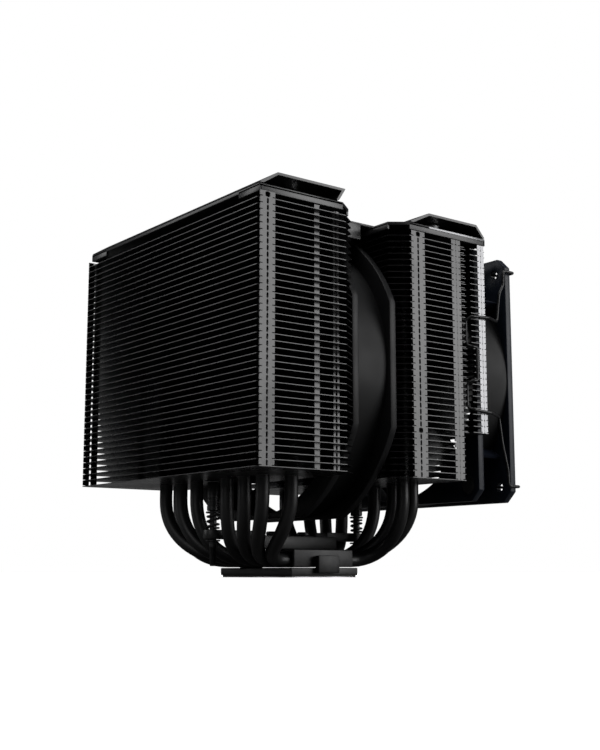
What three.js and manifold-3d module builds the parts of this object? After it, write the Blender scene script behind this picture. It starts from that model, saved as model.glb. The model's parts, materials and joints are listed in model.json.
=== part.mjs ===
// Twin-tower CPU cooler: two aluminium fin stacks on eight U-shaped heat pipes, a flat cold plate,
// a round-framed fan between the towers and a square fan clipped to the front tower.
// Millimetres, +Z up. The origin is the centre of the cold plate's contact face. X runs across the
// fins, and Y runs along the fans' axes, from the rear tower (-Y) to the front fan (+Y).
import * as THREE from 'three';
import { mergeVertices } from 'three/addons/utils/BufferGeometryUtils.js';
import Module from 'manifold-3d';

const wasm = await Module();
wasm.setup();

// ---------------------------------------------------------------- driving dimensions
const SEAT_GAP = 0.3; // between two pieces that rest on each other
const PASS_GAP = 0.5; // between a pipe or wire and the hole it passes through

// Base
const PLATE_MARGIN = 2.95; // cold plate's sides, beyond the outermost pipes
const PLATE_LENGTH = 38; // along Y
const PLATE_THICKNESS = 4.3;
const CONTACT_HEIGHT = 0.9; // machined step around the contact face
const CONTACT_INSET = 0.7;
const CAP_ROOF = 1.5;
const CAP_WALL = 1.6;
const CAP_INSET = 2; // cap's ends, behind the cold plate's ends
const CAP_SIDE_INSET = 1; // cap's sides, behind the cold plate's sides
const LUG_REACH = 3; // beyond the cold plate's side
const LUG_WIDTH = 12;
const LUG_BOTTOM = 1.9;
const LUG_TOP = 9.7;

// Heat pipes: four pairs, from the middle outwards
const PIPE_DIAMETER = 6;
const PIPE_SIDES = 8;
const PIPE_SIDE_GAP = 0.3; // between neighbours in the base
const PIPE_BEND_STEPS = 6;
const PIPE_BEND_RISE = 28.4; // from the pipe's run in the base to where the bend ends
const PIPE_DROP = 20; // handles of the bend's curve
const PIPE_RUN = 16;
const PIPE_TOP_INSET = 2; // pipe's end, below the top of the fins
const PIPE_ROW_Y = 43;
const PIPE_ROW_X = [12.4, 25.8, 39.3];
const OUTER_PIPE_X = 45;
const OUTER_PIPE_Y = 32;

// Fins
const FIN_COUNT = 40;
const LOWER_FIN_COUNT = 8; // short fins under the front tower's step
const FIN_PITCH = 2.8;
const FIN_THICKNESS = 0.5;
const FIN_BOTTOM = 43.2;
const TAB_THICKNESS = 0.6; // folded tabs that space the fins and join them
const CORNER_CUT_X = 6;
const CORNER_CUT_Y = 8;
const OUTER_CUT_X = 1.45; // small cuts at the outer corners
const OUTER_CUT_Y = 0.6;
const REAR_HALF_WIDTH = 73.75;
const REAR_DEPTH = 53.3;
const FRONT_HALF_WIDTH = 67.9;
const FRONT_DEPTH = 56.5;
const FRONT_STEP = 15.3; // how far the lower fins stand back for memory modules
const TAB_WIDTH = 7.4;
const TAB_INSET = 0.6; // from the outer face
const CLIP_GROOVE_FROM_FACE = 10.4; // groove's near wall, from the front tower's outer face
const CLIP_GROOVE_WIDTH = 3.8;
const CLIP_GROOVE_DEPTH = 2.7;

// Top plates and covers
const TOP_PLATE_THICKNESS = 3.4;
const REAR_PLATE_SIDE_INSET = 1.75; // behind the rear fins' sides
const REAR_PLATE_FACE_INSET = 1.3; // behind the rear fins' outer face
const ACCESS_HOLE_RADIUS = 7; // for the screwdriver
const COVER_SHEET = 1.1;
const COVER_HEIGHT = 5.8;
const REAR_COVER_SLOPE = 9.3;
const REAR_COVER_RIDGE = 45.5; // from the outer foot to the inner fold
const REAR_COVER_FOLD_BACK = 3.7;
const FRONT_COVER_FOOT = 8.3; // from the inner face
const FRONT_COVER_SLOPE = 11.8;
const FRONT_COVER_DROP = 5.4;
const MAGNET_RADIUS = 4;
const MAGNET_X = 56;

// Fans
const FAN_DEPTH = 25;
const FLANGE_THICKNESS = 3.5;
const FAN_HOLE_OFFSET = 52.5; // standard spacing of 105 mm for a 120 mm fan
const FAN_HOLE_RADIUS = 2.15;
const PAD_RADIUS = 3.9;
const PAD_THICKNESS = 3;
const FRONT_FAN_HALF = 60;
const FRONT_FAN_CHAMFER = 5;
const FRONT_BARREL_RADIUS = 59.4;
const FRONT_DUCT_RADIUS = 57.9;
const CENTER_FAN_HALF_WIDTH = 67.5;
const CENTER_FAN_HALF_HEIGHT = 66;
const CENTER_FLANGE_RADIUS = 73;
const CENTER_BARREL_RADIUS = 65.6;
const CENTER_DUCT_RADIUS = 64;
const CENTER_FAN_BACK_Y = -16.3;
const CENTER_FAN_REAR_GAP = 0.5;
const CENTER_FAN_FRONT_GAP = 0.8;
const FRONT_FAN_GAP = 0.4;
const BLADE_COUNT = 7;
const BLADE_TIP_GAP = 1.2;
const BLADE_THICKNESS = 1.6;
const HUB_RADIUS = 20;
const HUB_WALL = 2;
const HUB_TOP_INSET = 2; // below the fan's front face
const HUB_BASE_GAP = 0.4; // above the motor base
const MOTOR_BASE_RADIUS = 21;
const MOTOR_BASE_THICKNESS = 2.5;
const STRUT_COUNT = 4;
const STRUT_WIDTH = 5;
const SHAFT_RADIUS = 1.5;
const BEARING_WALL = 2.2;
const BOSS_WALL = 1;
const BEARING_TOP = 3;
const MAGNET_RING_WALL = 1.5;
const STATOR_LIFT = 2; // above the motor base
const STATOR_HEIGHT = 12;
const STATOR_POLES = 4;

// Bracket that holds the middle fan
const BRACKET_HALF_WIDTH = 49;
const BRACKET_SHEET = 1.2;
const BRACKET_SKIRT = 8;
const BRACKET_OVERLAP = 5; // on each top plate
const BRACKET_SCREW_X = 40;
const BRACKET_SCREW_RADIUS = 1.2;

// Mounting bar and its spring screws
const SCREW_Y = 42;
const BAR_HALF_WIDTH = 7;
const BAR_HALF_LENGTH = 24;
const BAR_TOP = 19;
const ARM_HALF_WIDTH = 4.5;
const EAR_BOTTOM = 17;
const EAR_THICKNESS = 4;
const SCREW_SHAFT_RADIUS = 1.6;
const SCREW_TIP = 5;
const SCREW_HEAD_RADIUS = 2.85;
const SCREW_HEAD_GAP = 0.8; // below the fins
const SPRING_LENGTH = 6.8;
const SPRING_RADIUS = 2.6;
const SPRING_WIRE_RADIUS = 0.45;
const SPRING_TURNS = 3.25;
const COLLAR_THICKNESS = 0.8;
const COLLAR_RADIUS = 3.3;
const CLIP_RING_THICKNESS = 0.8;
const BAR_SCREW_Y = 9;
const BAR_SCREW_RADIUS = 1.5;

// Fan clips: offsets in Z are from the front fan's centre
const CLIP_WIRE_RADIUS = 0.8;
const CLIP_STANDOFF = 0.55; // wire from the surfaces it runs along
const CLIP_HOOK_TOP = 25.3;
const CLIP_HOOK_BOTTOM = -19.9;
const CLIP_GRIP_TOP = 10.2;
const CLIP_GRIP_BOTTOM = -5.6;
const CLIP_GRIP_REACH = 4.3;

// ---------------------------------------------------------------- places that follow from them
const CAP_BOTTOM = PLATE_THICKNESS + SEAT_GAP;
const PIPE_RADIUS = PIPE_DIAMETER / 2;
const PIPE_BASE_Z = CAP_BOTTOM + PIPE_RADIUS;
const PIPE_BEND_TOP = PIPE_BASE_Z + PIPE_BEND_RISE;
const PIPE_BASE_PITCH = PIPE_DIAMETER + PIPE_SIDE_GAP;
const PLATE_WIDTH = 2 * (PIPE_BASE_PITCH * (PIPE_ROW_X.length + 0.5) + PIPE_RADIUS + PLATE_MARGIN);
const CAP_TOP = PIPE_BASE_Z + PIPE_RADIUS + SEAT_GAP + CAP_ROOF;
const STACK_TOP = FIN_BOTTOM + FIN_PITCH * FIN_COUNT;
const STEP_Z = FIN_BOTTOM + FIN_PITCH * LOWER_FIN_COUNT;
const TOP_PLATE_BOTTOM = STACK_TOP + SEAT_GAP;
const TOP_PLATE_TOP = TOP_PLATE_BOTTOM + TOP_PLATE_THICKNESS;
// Heights in a fan, from its mid plane
const MOTOR_BASE_TOP = MOTOR_BASE_THICKNESS - FAN_DEPTH / 2;
const HUB_BOTTOM = MOTOR_BASE_TOP + HUB_BASE_GAP;
const HUB_TOP = FAN_DEPTH / 2 - HUB_TOP_INSET;
const STATOR_BOTTOM = MOTOR_BASE_TOP + STATOR_LIFT;
const STATOR_TOP = STATOR_BOTTOM + STATOR_HEIGHT;
// Places along the fans' axes
const CENTER_FAN_FRONT_Y = CENTER_FAN_BACK_Y + FAN_DEPTH;
const REAR_INNER_Y = CENTER_FAN_BACK_Y - CENTER_FAN_REAR_GAP;
const REAR_OUTER_Y = REAR_INNER_Y - REAR_DEPTH;
const FRONT_INNER_Y = CENTER_FAN_FRONT_Y + CENTER_FAN_FRONT_GAP;
const FRONT_OUTER_Y = FRONT_INNER_Y + FRONT_DEPTH;
const FRONT_FAN_BACK_Y = FRONT_OUTER_Y + FRONT_FAN_GAP;
const FRONT_FAN_Z = STACK_TOP - FRONT_FAN_HALF;
const CENTER_FAN_Z = TOP_PLATE_TOP - PASS_GAP - CENTER_FAN_HALF_HEIGHT;
const BEARING_RADIUS = SHAFT_RADIUS + SEAT_GAP + BEARING_WALL;
const BOSS_RADIUS = BEARING_RADIUS + SEAT_GAP + BOSS_WALL;
const EAR_TOP = EAR_BOTTOM + EAR_THICKNESS;
const SPRING_BOTTOM = EAR_TOP + SEAT_GAP;
const COLLAR_BOTTOM = SPRING_BOTTOM + SPRING_LENGTH + SEAT_GAP;
const HEAD_BOTTOM = COLLAR_BOTTOM + COLLAR_THICKNESS + SEAT_GAP;

// ---------------------------------------------------------------- finishes
const finish = (color, roughness, metalness) => ({ color, roughness, metalness });
const BLACK_FINS = finish(0x141415, 0.42, 0.8);
const BLACK_PIPES = finish(0x0f0f10, 0.35, 0.85);
const BLACK_SHEET = finish(0x1b1b1c, 0.4, 0.8);
const PLATED_BASE = finish(0x2a2a2b, 0.35, 0.9);
const FAN_PLASTIC = finish(0x0c0c0d, 0.5, 0);
const BLADE_PLASTIC = finish(0x08080a, 0.3, 0);
const SCREW_STEEL = finish(0x1d1d1f, 0.35, 0.95);
const WIRE_STEEL = finish(0x3a3a3c, 0.3, 1);
const BRIGHT_STEEL = finish(0xb9bbbd, 0.25, 1);
const BEARING_BRASS = finish(0xa08850, 0.35, 1);
const COPPER_WINDINGS = finish(0x8a4a28, 0.4, 0.8);
const MAGNET_GREY = finish(0x303032, 0.6, 0.3);
const RUBBER = finish(0x111111, 0.85, 0);

// ---------------------------------------------------------------- solids
const assembly = new THREE.Group();

/** Merges shared vertices, leaves only position and turns the faces outwards. */
function closed(geometry) {
  const bare = geometry.clone();
  bare.deleteAttribute('normal');
  bare.deleteAttribute('uv');
  const merged = mergeVertices(bare, 1e-4);
  const vertices = merged.attributes.position;
  const triangles = merged.index.array;
  const [a, b, c] = [new THREE.Vector3(), new THREE.Vector3(), new THREE.Vector3()];
  let volume = 0;
  for (let i = 0; i < triangles.length; i += 3) {
    a.fromBufferAttribute(vertices, triangles[i]);
    b.fromBufferAttribute(vertices, triangles[i + 1]);
    c.fromBufferAttribute(vertices, triangles[i + 2]);
    volume += a.dot(b.cross(c));
  }
  if (volume < 0) {
    for (let i = 0; i < triangles.length; i += 3) {
      [triangles[i + 1], triangles[i + 2]] = [triangles[i + 2], triangles[i + 1]];
    }
  }
  return merged;
}

/** Turns a closed geometry into a solid that can be joined and cut. */
function solid(geometry) {
  const merged = closed(geometry);
  const vertProperties = new Float32Array(merged.attributes.position.array);
  const triVerts = new Uint32Array(merged.index.array);
  return new wasm.Manifold(new wasm.Mesh({ numProp: 3, vertProperties, triVerts }));
}

/** Turns a joined or cut solid back into a geometry. */
function surface(body) {
  const result = body.getMesh();
  const geometry = new THREE.BufferGeometry();
  geometry.setAttribute('position', new THREE.BufferAttribute(new Float32Array(result.vertProperties), 3));
  geometry.setIndex(new THREE.BufferAttribute(new Uint32Array(result.triVerts), 1));
  return geometry;
}

/** Adds one named piece to a group. */
function addPiece(name, shape, look, parent = assembly) {
  const geometry = shape.isBufferGeometry ? closed(shape) : surface(shape);
  geometry.computeVertexNormals();
  const mesh = new THREE.Mesh(geometry, new THREE.MeshStandardMaterial(look));
  mesh.name = name;
  parent.add(mesh);
  return mesh;
}

/** A box between two corners. */
function box(x0, x1, y0, y1, z0, z1) {
  const geometry = new THREE.BoxGeometry(x1 - x0, y1 - y0, z1 - z0);
  return solid(geometry.translate((x0 + x1) / 2, (y0 + y1) / 2, (z0 + z1) / 2));
}

/** A round bar along Z. */
function rod(radius, z0, z1, x = 0, y = 0, segments = 24) {
  const geometry = new THREE.CylinderGeometry(radius, radius, z1 - z0, segments);
  return solid(geometry.rotateX(Math.PI / 2).translate(x, y, (z0 + z1) / 2));
}

/** A tube along Z. */
function sleeve(inner, outer, z0, z1, segments = 24) {
  const profile = [[inner, z0], [outer, z0], [outer, z1], [inner, z1], [inner, z0]];
  const geometry = new THREE.LatheGeometry(profile.map(([r, z]) => new THREE.Vector2(r, z)), segments);
  return geometry.rotateX(Math.PI / 2);
}

/** A flat outline in XY, raised from z0 to z1. */
function plate(outline, z0, z1) {
  const shape = new THREE.Shape(outline.map(([x, y]) => new THREE.Vector2(x, y)));
  const geometry = new THREE.ExtrudeGeometry(shape, { depth: z1 - z0, bevelEnabled: false });
  return solid(geometry.translate(0, 0, z0));
}

/** A curve through chosen points, with its steps at those points. */
class PointPath extends THREE.Curve {
  constructor(points) {
    super();
    this.points = points;
  }

  getUtoTmapping(u) {
    return u;
  }

  getPoint(t, target = new THREE.Vector3()) {
    const place = t * (this.points.length - 1);
    const index = Math.min(Math.floor(place), this.points.length - 2);
    return target.lerpVectors(this.points[index], this.points[index + 1], place - index);
  }

  getTangent(t, target = new THREE.Vector3()) {
    const last = this.points.length - 1;
    const index = Math.round(t * last);
    const here = this.points[index];
    target.set(0, 0, 0);
    if (index > 0) {
      target.add(here.clone().sub(this.points[index - 1]).normalize());
    }
    if (index < last) {
      target.add(this.points[index + 1].clone().sub(here).normalize());
    }
    return target.normalize();
  }
}

/** A round wire or pipe along a list of points. */
function wire(points, radius, sides) {
  const section = new THREE.Shape();
  for (let i = 0; i < sides; i += 1) {
    const angle = (2 * Math.PI * (i + 0.5)) / sides;
    const [x, y] = [radius * Math.cos(angle), radius * Math.sin(angle)];
    if (i === 0) {
      section.moveTo(x, y);
    } else {
      section.lineTo(x, y);
    }
  }
  const extrudePath = new PointPath(points);
  return new THREE.ExtrudeGeometry(section, { steps: points.length - 1, extrudePath, bevelEnabled: false });
}

/** Corner points of a bent wire, with each inner corner rounded off in two steps. */
function bentPath(corners, bendRadius) {
  const points = corners.map((corner) => new THREE.Vector3(...corner));
  const path = [points[0]];
  for (let i = 1; i < points.length - 1; i += 1) {
    const before = points[i - 1].clone().sub(points[i]);
    const after = points[i + 1].clone().sub(points[i]);
    const reach = Math.min(bendRadius, before.length() * 0.45, after.length() * 0.45);
    const start = points[i].clone().addScaledVector(before.normalize(), reach);
    const end = points[i].clone().addScaledVector(after.normalize(), reach);
    const bend = new THREE.QuadraticBezierCurve3(start, points[i], end);
    path.push(...bend.getPoints(2));
  }
  path.push(points[points.length - 1]);
  return path;
}

// ---------------------------------------------------------------- base
/** The flat copper slab that meets the processor, with a shallow step round its contact face. */
function addColdPlate() {
  const [x, y] = [PLATE_WIDTH / 2, PLATE_LENGTH / 2];
  const slab = box(-x, x, -y, y, CONTACT_HEIGHT, PLATE_THICKNESS);
  const [cx, cy] = [x - CONTACT_INSET, y - CONTACT_INSET];
  addPiece('cold_plate', slab.add(box(-cx, cx, -cy, cy, 0, CONTACT_HEIGHT)), PLATED_BASE);
}

/** The bridge over the pipes, with a hooked lug on each side of the cold plate. */
function addPipeCap() {
  const half = PLATE_WIDTH / 2 - CAP_SIDE_INSET;
  const end = PLATE_LENGTH / 2 - CAP_INSET;
  const hollow = half - CAP_WALL;
  const roofBottom = CAP_TOP - CAP_ROOF;
  let cap = box(-half, half, -end, end, CAP_BOTTOM, CAP_TOP);
  cap = cap.subtract(box(-hollow, hollow, -end - 1, end + 1, CAP_BOTTOM - 1, roofBottom));
  const inner = PLATE_WIDTH / 2 + SEAT_GAP;
  const outer = PLATE_WIDTH / 2 + LUG_REACH;
  const lugEnd = LUG_WIDTH / 2;
  for (const side of [-1, 1]) {
    const [low, high] = [inner * side, outer * side].sort((a, b) => a - b);
    const [wallLow, wallHigh] = [(half - 0.5) * side, outer * side].sort((a, b) => a - b);
    cap = cap.add(box(low, high, -lugEnd, lugEnd, LUG_BOTTOM, LUG_TOP));
    cap = cap.add(box(wallLow, wallHigh, -lugEnd, lugEnd, CAP_BOTTOM, LUG_TOP));
  }
  for (const side of [-1, 1]) {
    const hole = BAR_SCREW_RADIUS + SEAT_GAP;
    cap = cap.subtract(rod(hole, roofBottom - 1, CAP_TOP + 1, 0, BAR_SCREW_Y * side, 12));
  }
  addPiece('pipe_cap', cap, PLATED_BASE);
}

/** The spring-screw bar: a thick middle over the pipe cap and a round-ended arm to each screw. */
function addMountingBar() {
  const barBottom = CAP_TOP + SEAT_GAP;
  const armStart = BAR_HALF_LENGTH - 4;
  let bar = box(-BAR_HALF_WIDTH, BAR_HALF_WIDTH, -BAR_HALF_LENGTH, BAR_HALF_LENGTH, barBottom, BAR_TOP);
  for (const side of [-1, 1]) {
    const [y0, y1] = [armStart * side, SCREW_Y * side].sort((a, b) => a - b);
    bar = bar.add(box(-ARM_HALF_WIDTH, ARM_HALF_WIDTH, y0, y1, EAR_BOTTOM, EAR_TOP));
    bar = bar.add(rod(ARM_HALF_WIDTH, EAR_BOTTOM, EAR_TOP, 0, SCREW_Y * side, 20));
  }
  for (const side of [-1, 1]) {
    const holeRadius = SCREW_SHAFT_RADIUS + PASS_GAP;
    bar = bar.subtract(rod(holeRadius, EAR_BOTTOM - 1, EAR_TOP + 1, 0, SCREW_Y * side, 16));
    const seat = BAR_SCREW_RADIUS + SEAT_GAP;
    bar = bar.subtract(rod(seat, barBottom - 1, BAR_TOP + 1, 0, BAR_SCREW_Y * side, 12));
  }
  addPiece('mounting_bar', bar, BLACK_SHEET);
  for (const [name, side] of [['rear_bar_screw', -1], ['front_bar_screw', 1]]) {
    const shaftTop = BAR_TOP + SEAT_GAP + 0.5;
    const shaft = rod(BAR_SCREW_RADIUS, CAP_TOP - CAP_ROOF, shaftTop, 0, BAR_SCREW_Y * side, 12);
    const head = rod(BAR_SCREW_RADIUS * 2, BAR_TOP + SEAT_GAP, BAR_TOP + 2, 0, BAR_SCREW_Y * side, 12);
    addPiece(name, shaft.add(head), SCREW_STEEL);
  }
}

/** One long spring screw with its collar, spring and retaining ring. */
function addMountScrew(end, side) {
  const group = new THREE.Group();
  group.position.set(0, SCREW_Y * side, 0);
  assembly.add(group);
  const shaft = rod(SCREW_SHAFT_RADIUS, SCREW_TIP, HEAD_BOTTOM + 1, 0, 0, 12);
  const head = rod(SCREW_HEAD_RADIUS, HEAD_BOTTOM, FIN_BOTTOM - SCREW_HEAD_GAP, 0, 0, 16);
  const socket = rod(SCREW_HEAD_RADIUS / 2, FIN_BOTTOM - SCREW_HEAD_GAP - 4, FIN_BOTTOM, 0, 0, 6);
  addPiece(`${end}_mount_screw`, shaft.add(head).subtract(socket), SCREW_STEEL, group);
  const bore = SCREW_SHAFT_RADIUS + SEAT_GAP;
  const collar = sleeve(bore, COLLAR_RADIUS, COLLAR_BOTTOM, COLLAR_BOTTOM + COLLAR_THICKNESS, 16);
  addPiece(`${end}_spring_collar`, collar, SCREW_STEEL, group);
  const ringTop = EAR_BOTTOM - SEAT_GAP;
  const ring = sleeve(bore, COLLAR_RADIUS, ringTop - CLIP_RING_THICKNESS, ringTop, 16);
  addPiece(`${end}_retaining_ring`, ring, SCREW_STEEL, group);
  const turns = [];
  const steps = Math.round(SPRING_TURNS * 10);
  const rise = SPRING_LENGTH - 2 * SPRING_WIRE_RADIUS;
  for (let i = 0; i <= steps; i += 1) {
    const angle = (2 * Math.PI * SPRING_TURNS * i) / steps;
    const height = SPRING_BOTTOM + SPRING_WIRE_RADIUS + (rise * i) / steps;
    turns.push(new THREE.Vector3(SPRING_RADIUS * Math.cos(angle), SPRING_RADIUS * Math.sin(angle), height));
  }
  addPiece(`${end}_spring`, wire(turns, SPRING_WIRE_RADIUS, 6), WIRE_STEEL, group);
}

// ---------------------------------------------------------------- heat pipes
/** Points of the bend from a tower column down to the base, at the end given by side. */
function pipeBend(columnX, columnY, baseX, side) {
  const bend = new THREE.CubicBezierCurve3(
    new THREE.Vector3(columnX, columnY * side, PIPE_BEND_TOP),
    new THREE.Vector3(columnX, columnY * side, PIPE_BEND_TOP - PIPE_DROP),
    new THREE.Vector3(baseX, (PLATE_LENGTH / 2 + PIPE_RUN) * side, PIPE_BASE_Z),
    new THREE.Vector3(baseX, (PLATE_LENGTH / 2) * side, PIPE_BASE_Z),
  );
  return bend.getPoints(PIPE_BEND_STEPS);
}

/** One U-shaped pipe: up through both towers and across the base between them. */
function addHeatPipe(name, columnX, columnY, baseX) {
  const top = STACK_TOP - PIPE_TOP_INSET;
  const rear = pipeBend(columnX, columnY, baseX, -1);
  const front = pipeBend(columnX, columnY, baseX, 1).reverse();
  const points = [new THREE.Vector3(columnX, -columnY, top), ...rear, ...front];
  points.push(new THREE.Vector3(columnX, columnY, top));
  addPiece(name, wire(points, PIPE_RADIUS, PIPE_SIDES), BLACK_PIPES);
}

/** All eight pipes, numbered from the left side to the right. */
function addHeatPipes() {
  const columns = PIPE_ROW_X.map((x) => [x, PIPE_ROW_Y]);
  columns.push([OUTER_PIPE_X, OUTER_PIPE_Y]);
  columns.forEach(([x, y], index) => {
    const baseX = PIPE_BASE_PITCH * (index + 0.5);
    addHeatPipe(`heat_pipe_${4 - index}`, -x, y, -baseX);
    addHeatPipe(`heat_pipe_${5 + index}`, x, y, baseX);
  });
}

// ---------------------------------------------------------------- fin stacks
/** Fin outline: a flat outer edge and an inner edge with cut corners. */
function finOutline(half, outerY, innerY) {
  const inwards = Math.sign(innerY - outerY);
  const cutY = innerY - CORNER_CUT_Y * inwards;
  const faceY = outerY + OUTER_CUT_Y * inwards;
  const faceX = half - OUTER_CUT_X;
  const outline = [[-half, faceY], [-faceX, outerY], [faceX, outerY], [half, faceY], [half, cutY]];
  outline.push([half - CORNER_CUT_X, innerY], [-half + CORNER_CUT_X, innerY], [-half, cutY]);
  return inwards > 0 ? outline : outline.reverse();
}

/** The slot in every fin for the pipes and the screwdriver, on the side given by the sign. */
function pipeSlot(side) {
  const reach = PIPE_RADIUS + PASS_GAP;
  const [x1, x0] = [OUTER_PIPE_X + reach, OUTER_PIPE_X - reach];
  const [far, near, outer] = [PIPE_ROW_Y + reach, PIPE_ROW_Y - reach, OUTER_PIPE_Y - reach];
  const half = [[x1, far], [x1, outer], [x0, outer], [x0, near]];
  const mirrored = half.map(([x, y]) => [-x, y]).reverse();
  return [...half, ...mirrored].map(([x, y]) => [x, y * side]);
}

/** Fins from one index to another, joined by the tab strips at their ends. */
function finStack(half, outerY, innerY, firstFin, lastFin, side) {
  const outline = finOutline(half, outerY, innerY);
  const bottom = FIN_BOTTOM + FIN_PITCH * firstFin;
  const top = FIN_BOTTOM + FIN_PITCH * lastFin;
  const inwards = Math.sign(innerY - outerY);
  const tabEnds = [outerY + TAB_INSET * inwards, outerY + (TAB_INSET + TAB_WIDTH) * inwards];
  const [tabY0, tabY1] = tabEnds.sort((a, b) => a - b);
  const bodies = [];
  for (let fin = firstFin; fin < lastFin; fin += 1) {
    const z = FIN_BOTTOM + FIN_PITCH * fin;
    bodies.push(plate(outline, z, z + FIN_THICKNESS));
  }
  bodies.push(box(half - TAB_THICKNESS, half, tabY0, tabY1, bottom, top - SEAT_GAP));
  bodies.push(box(-half, TAB_THICKNESS - half, tabY0, tabY1, bottom, top - SEAT_GAP));
  const stack = wasm.Manifold.union(bodies);
  return stack.subtract(plate(pipeSlot(side), bottom - 1, top + 1));
}

/** Both towers. The front one stands back at its foot and is grooved for the fan clips. */
function addFinStacks() {
  const rear = finStack(REAR_HALF_WIDTH, REAR_OUTER_Y, REAR_INNER_Y, 0, FIN_COUNT, -1);
  addPiece('rear_fin_stack', rear, BLACK_FINS);
  const stepY = FRONT_OUTER_Y - FRONT_STEP;
  const lower = finStack(FRONT_HALF_WIDTH, stepY, FRONT_INNER_Y, 0, LOWER_FIN_COUNT, 1);
  addPiece('front_lower_fin_stack', lower, BLACK_FINS);
  let upper = finStack(FRONT_HALF_WIDTH, FRONT_OUTER_Y, FRONT_INNER_Y, LOWER_FIN_COUNT, FIN_COUNT, 1);
  const grooveY = FRONT_OUTER_Y - CLIP_GROOVE_FROM_FACE;
  for (const side of [-1, 1]) {
    const ends = [(FRONT_HALF_WIDTH - CLIP_GROOVE_DEPTH) * side, (FRONT_HALF_WIDTH + 1) * side];
    const [x0, x1] = ends.sort((a, b) => a - b);
    upper = upper.subtract(box(x0, x1, grooveY - CLIP_GROOVE_WIDTH, grooveY, STEP_Z - 1, STACK_TOP + 1));
  }
  addPiece('front_upper_fin_stack', upper, BLACK_FINS);
}

// ---------------------------------------------------------------- top plates and covers
/** A top plate with the screwdriver's hole, and holes for the bracket's screws if it has them. */
function addTopPlate(name, half, outerY, innerY, holeY, screwY) {
  let body = plate(finOutline(half, outerY, innerY), TOP_PLATE_BOTTOM, TOP_PLATE_TOP);
  body = body.subtract(rod(ACCESS_HOLE_RADIUS, TOP_PLATE_BOTTOM - 1, TOP_PLATE_TOP + 1, 0, holeY, 16));
  for (const x of screwY === null ? [] : [-BRACKET_SCREW_X, BRACKET_SCREW_X]) {
    const hole = BRACKET_SCREW_RADIUS + SEAT_GAP;
    body = body.subtract(rod(hole, TOP_PLATE_BOTTOM - 1, TOP_PLATE_TOP + 1, x, screwY, 10));
  }
  addPiece(name, body, BLACK_SHEET);
}

/** A bent sheet cover from foot to foot over two folds, open at both ends. */
function addTopCover(name, half, [footA, ridgeA, ridgeB, footB]) {
  const low = TOP_PLATE_TOP + SEAT_GAP;
  const high = low + COVER_HEIGHT;
  const inset = (from, to) => (COVER_SHEET * Math.hypot(to - from, COVER_HEIGHT)) / COVER_HEIGHT;
  const share = 1 - COVER_SHEET / COVER_HEIGHT;
  const innerFootA = footA + inset(footA, ridgeA);
  const innerFootB = footB - inset(ridgeB, footB);
  const innerRidgeA = innerFootA + (ridgeA - footA) * share;
  const innerRidgeB = innerFootB + (ridgeB - footB) * share;
  const outline = [[footA, low], [ridgeA, high], [ridgeB, high], [footB, low]];
  outline.push([innerFootB, low], [innerRidgeB, high - COVER_SHEET]);
  outline.push([innerRidgeA, high - COVER_SHEET], [innerFootA, low]);
  const shape = new THREE.Shape(outline.map(([y, z]) => new THREE.Vector2(y, z)));
  const geometry = new THREE.ExtrudeGeometry(shape, { depth: 2 * half, bevelEnabled: false });
  geometry.translate(0, 0, -half);
  geometry.applyMatrix4(new THREE.Matrix4().set(0, 0, 1, 0, 1, 0, 0, 0, 0, 1, 0, 0, 0, 0, 0, 1));
  addPiece(name, geometry, BLACK_SHEET);
}

/** Plates, covers and the magnets that hold the covers down. */
function addTops() {
  const screwY = REAR_INNER_Y - BRACKET_OVERLAP / 2;
  const rearHalf = REAR_HALF_WIDTH - REAR_PLATE_SIDE_INSET;
  const rearEdge = REAR_OUTER_Y + REAR_PLATE_FACE_INSET;
  addTopPlate('rear_top_plate', rearHalf, rearEdge, REAR_INNER_Y, -SCREW_Y, screwY);
  addTopPlate('front_top_plate', FRONT_HALF_WIDTH, FRONT_OUTER_Y, FRONT_INNER_Y, SCREW_Y, null);
  const rearRidge = rearEdge + REAR_COVER_RIDGE;
  const rearFold = [rearEdge, rearEdge + REAR_COVER_SLOPE, rearRidge, rearRidge - REAR_COVER_FOLD_BACK];
  addTopCover('rear_top_cover', rearHalf, rearFold);
  const frontFoot = FRONT_INNER_Y + FRONT_COVER_FOOT;
  const frontRidge = FRONT_OUTER_Y - FRONT_COVER_DROP;
  const frontFold = [frontFoot, frontFoot + FRONT_COVER_SLOPE, frontRidge, FRONT_OUTER_Y];
  addTopCover('front_top_cover', FRONT_HALF_WIDTH, frontFold);
  const magnetBottom = TOP_PLATE_TOP + SEAT_GAP;
  const magnetTop = magnetBottom + COVER_HEIGHT - COVER_SHEET - SEAT_GAP;
  for (const [end, y] of [['rear', -SCREW_Y], ['front', SCREW_Y]]) {
    for (const [hand, side] of [['left', -1], ['right', 1]]) {
      const magnet = rod(MAGNET_RADIUS, magnetBottom, magnetTop, MAGNET_X * side, y, 16);
      addPiece(`${end}_${hand}_cover_magnet`, magnet, MAGNET_GREY);
    }
  }
}

// ---------------------------------------------------------------- fans
/** Square outline with chamfered corners. */
function squareOutline(half, chamfer) {
  const short = half - chamfer;
  return [
    [short, -half], [half, -short], [half, short], [short, half],
    [-short, half], [-half, short], [-half, -short], [-short, -half],
  ];
}

/** Round outline cut straight at its sides, top and bottom. */
function cutRoundOutline(radius, halfWidth, halfHeight) {
  const from = Math.acos(halfWidth / radius);
  const to = Math.asin(halfHeight / radius);
  const steps = 6;
  const quarter = [];
  for (let i = 0; i <= steps; i += 1) {
    const angle = from + ((to - from) * i) / steps;
    quarter.push([radius * Math.cos(angle), radius * Math.sin(angle)]);
  }
  const leftTop = quarter.map(([x, y]) => [-x, y]).reverse();
  const leftBottom = quarter.map(([x, y]) => [-x, -y]);
  const rightBottom = quarter.map(([x, y]) => [x, -y]).reverse();
  return [...quarter, ...leftTop, ...leftBottom, ...rightBottom];
}

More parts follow.
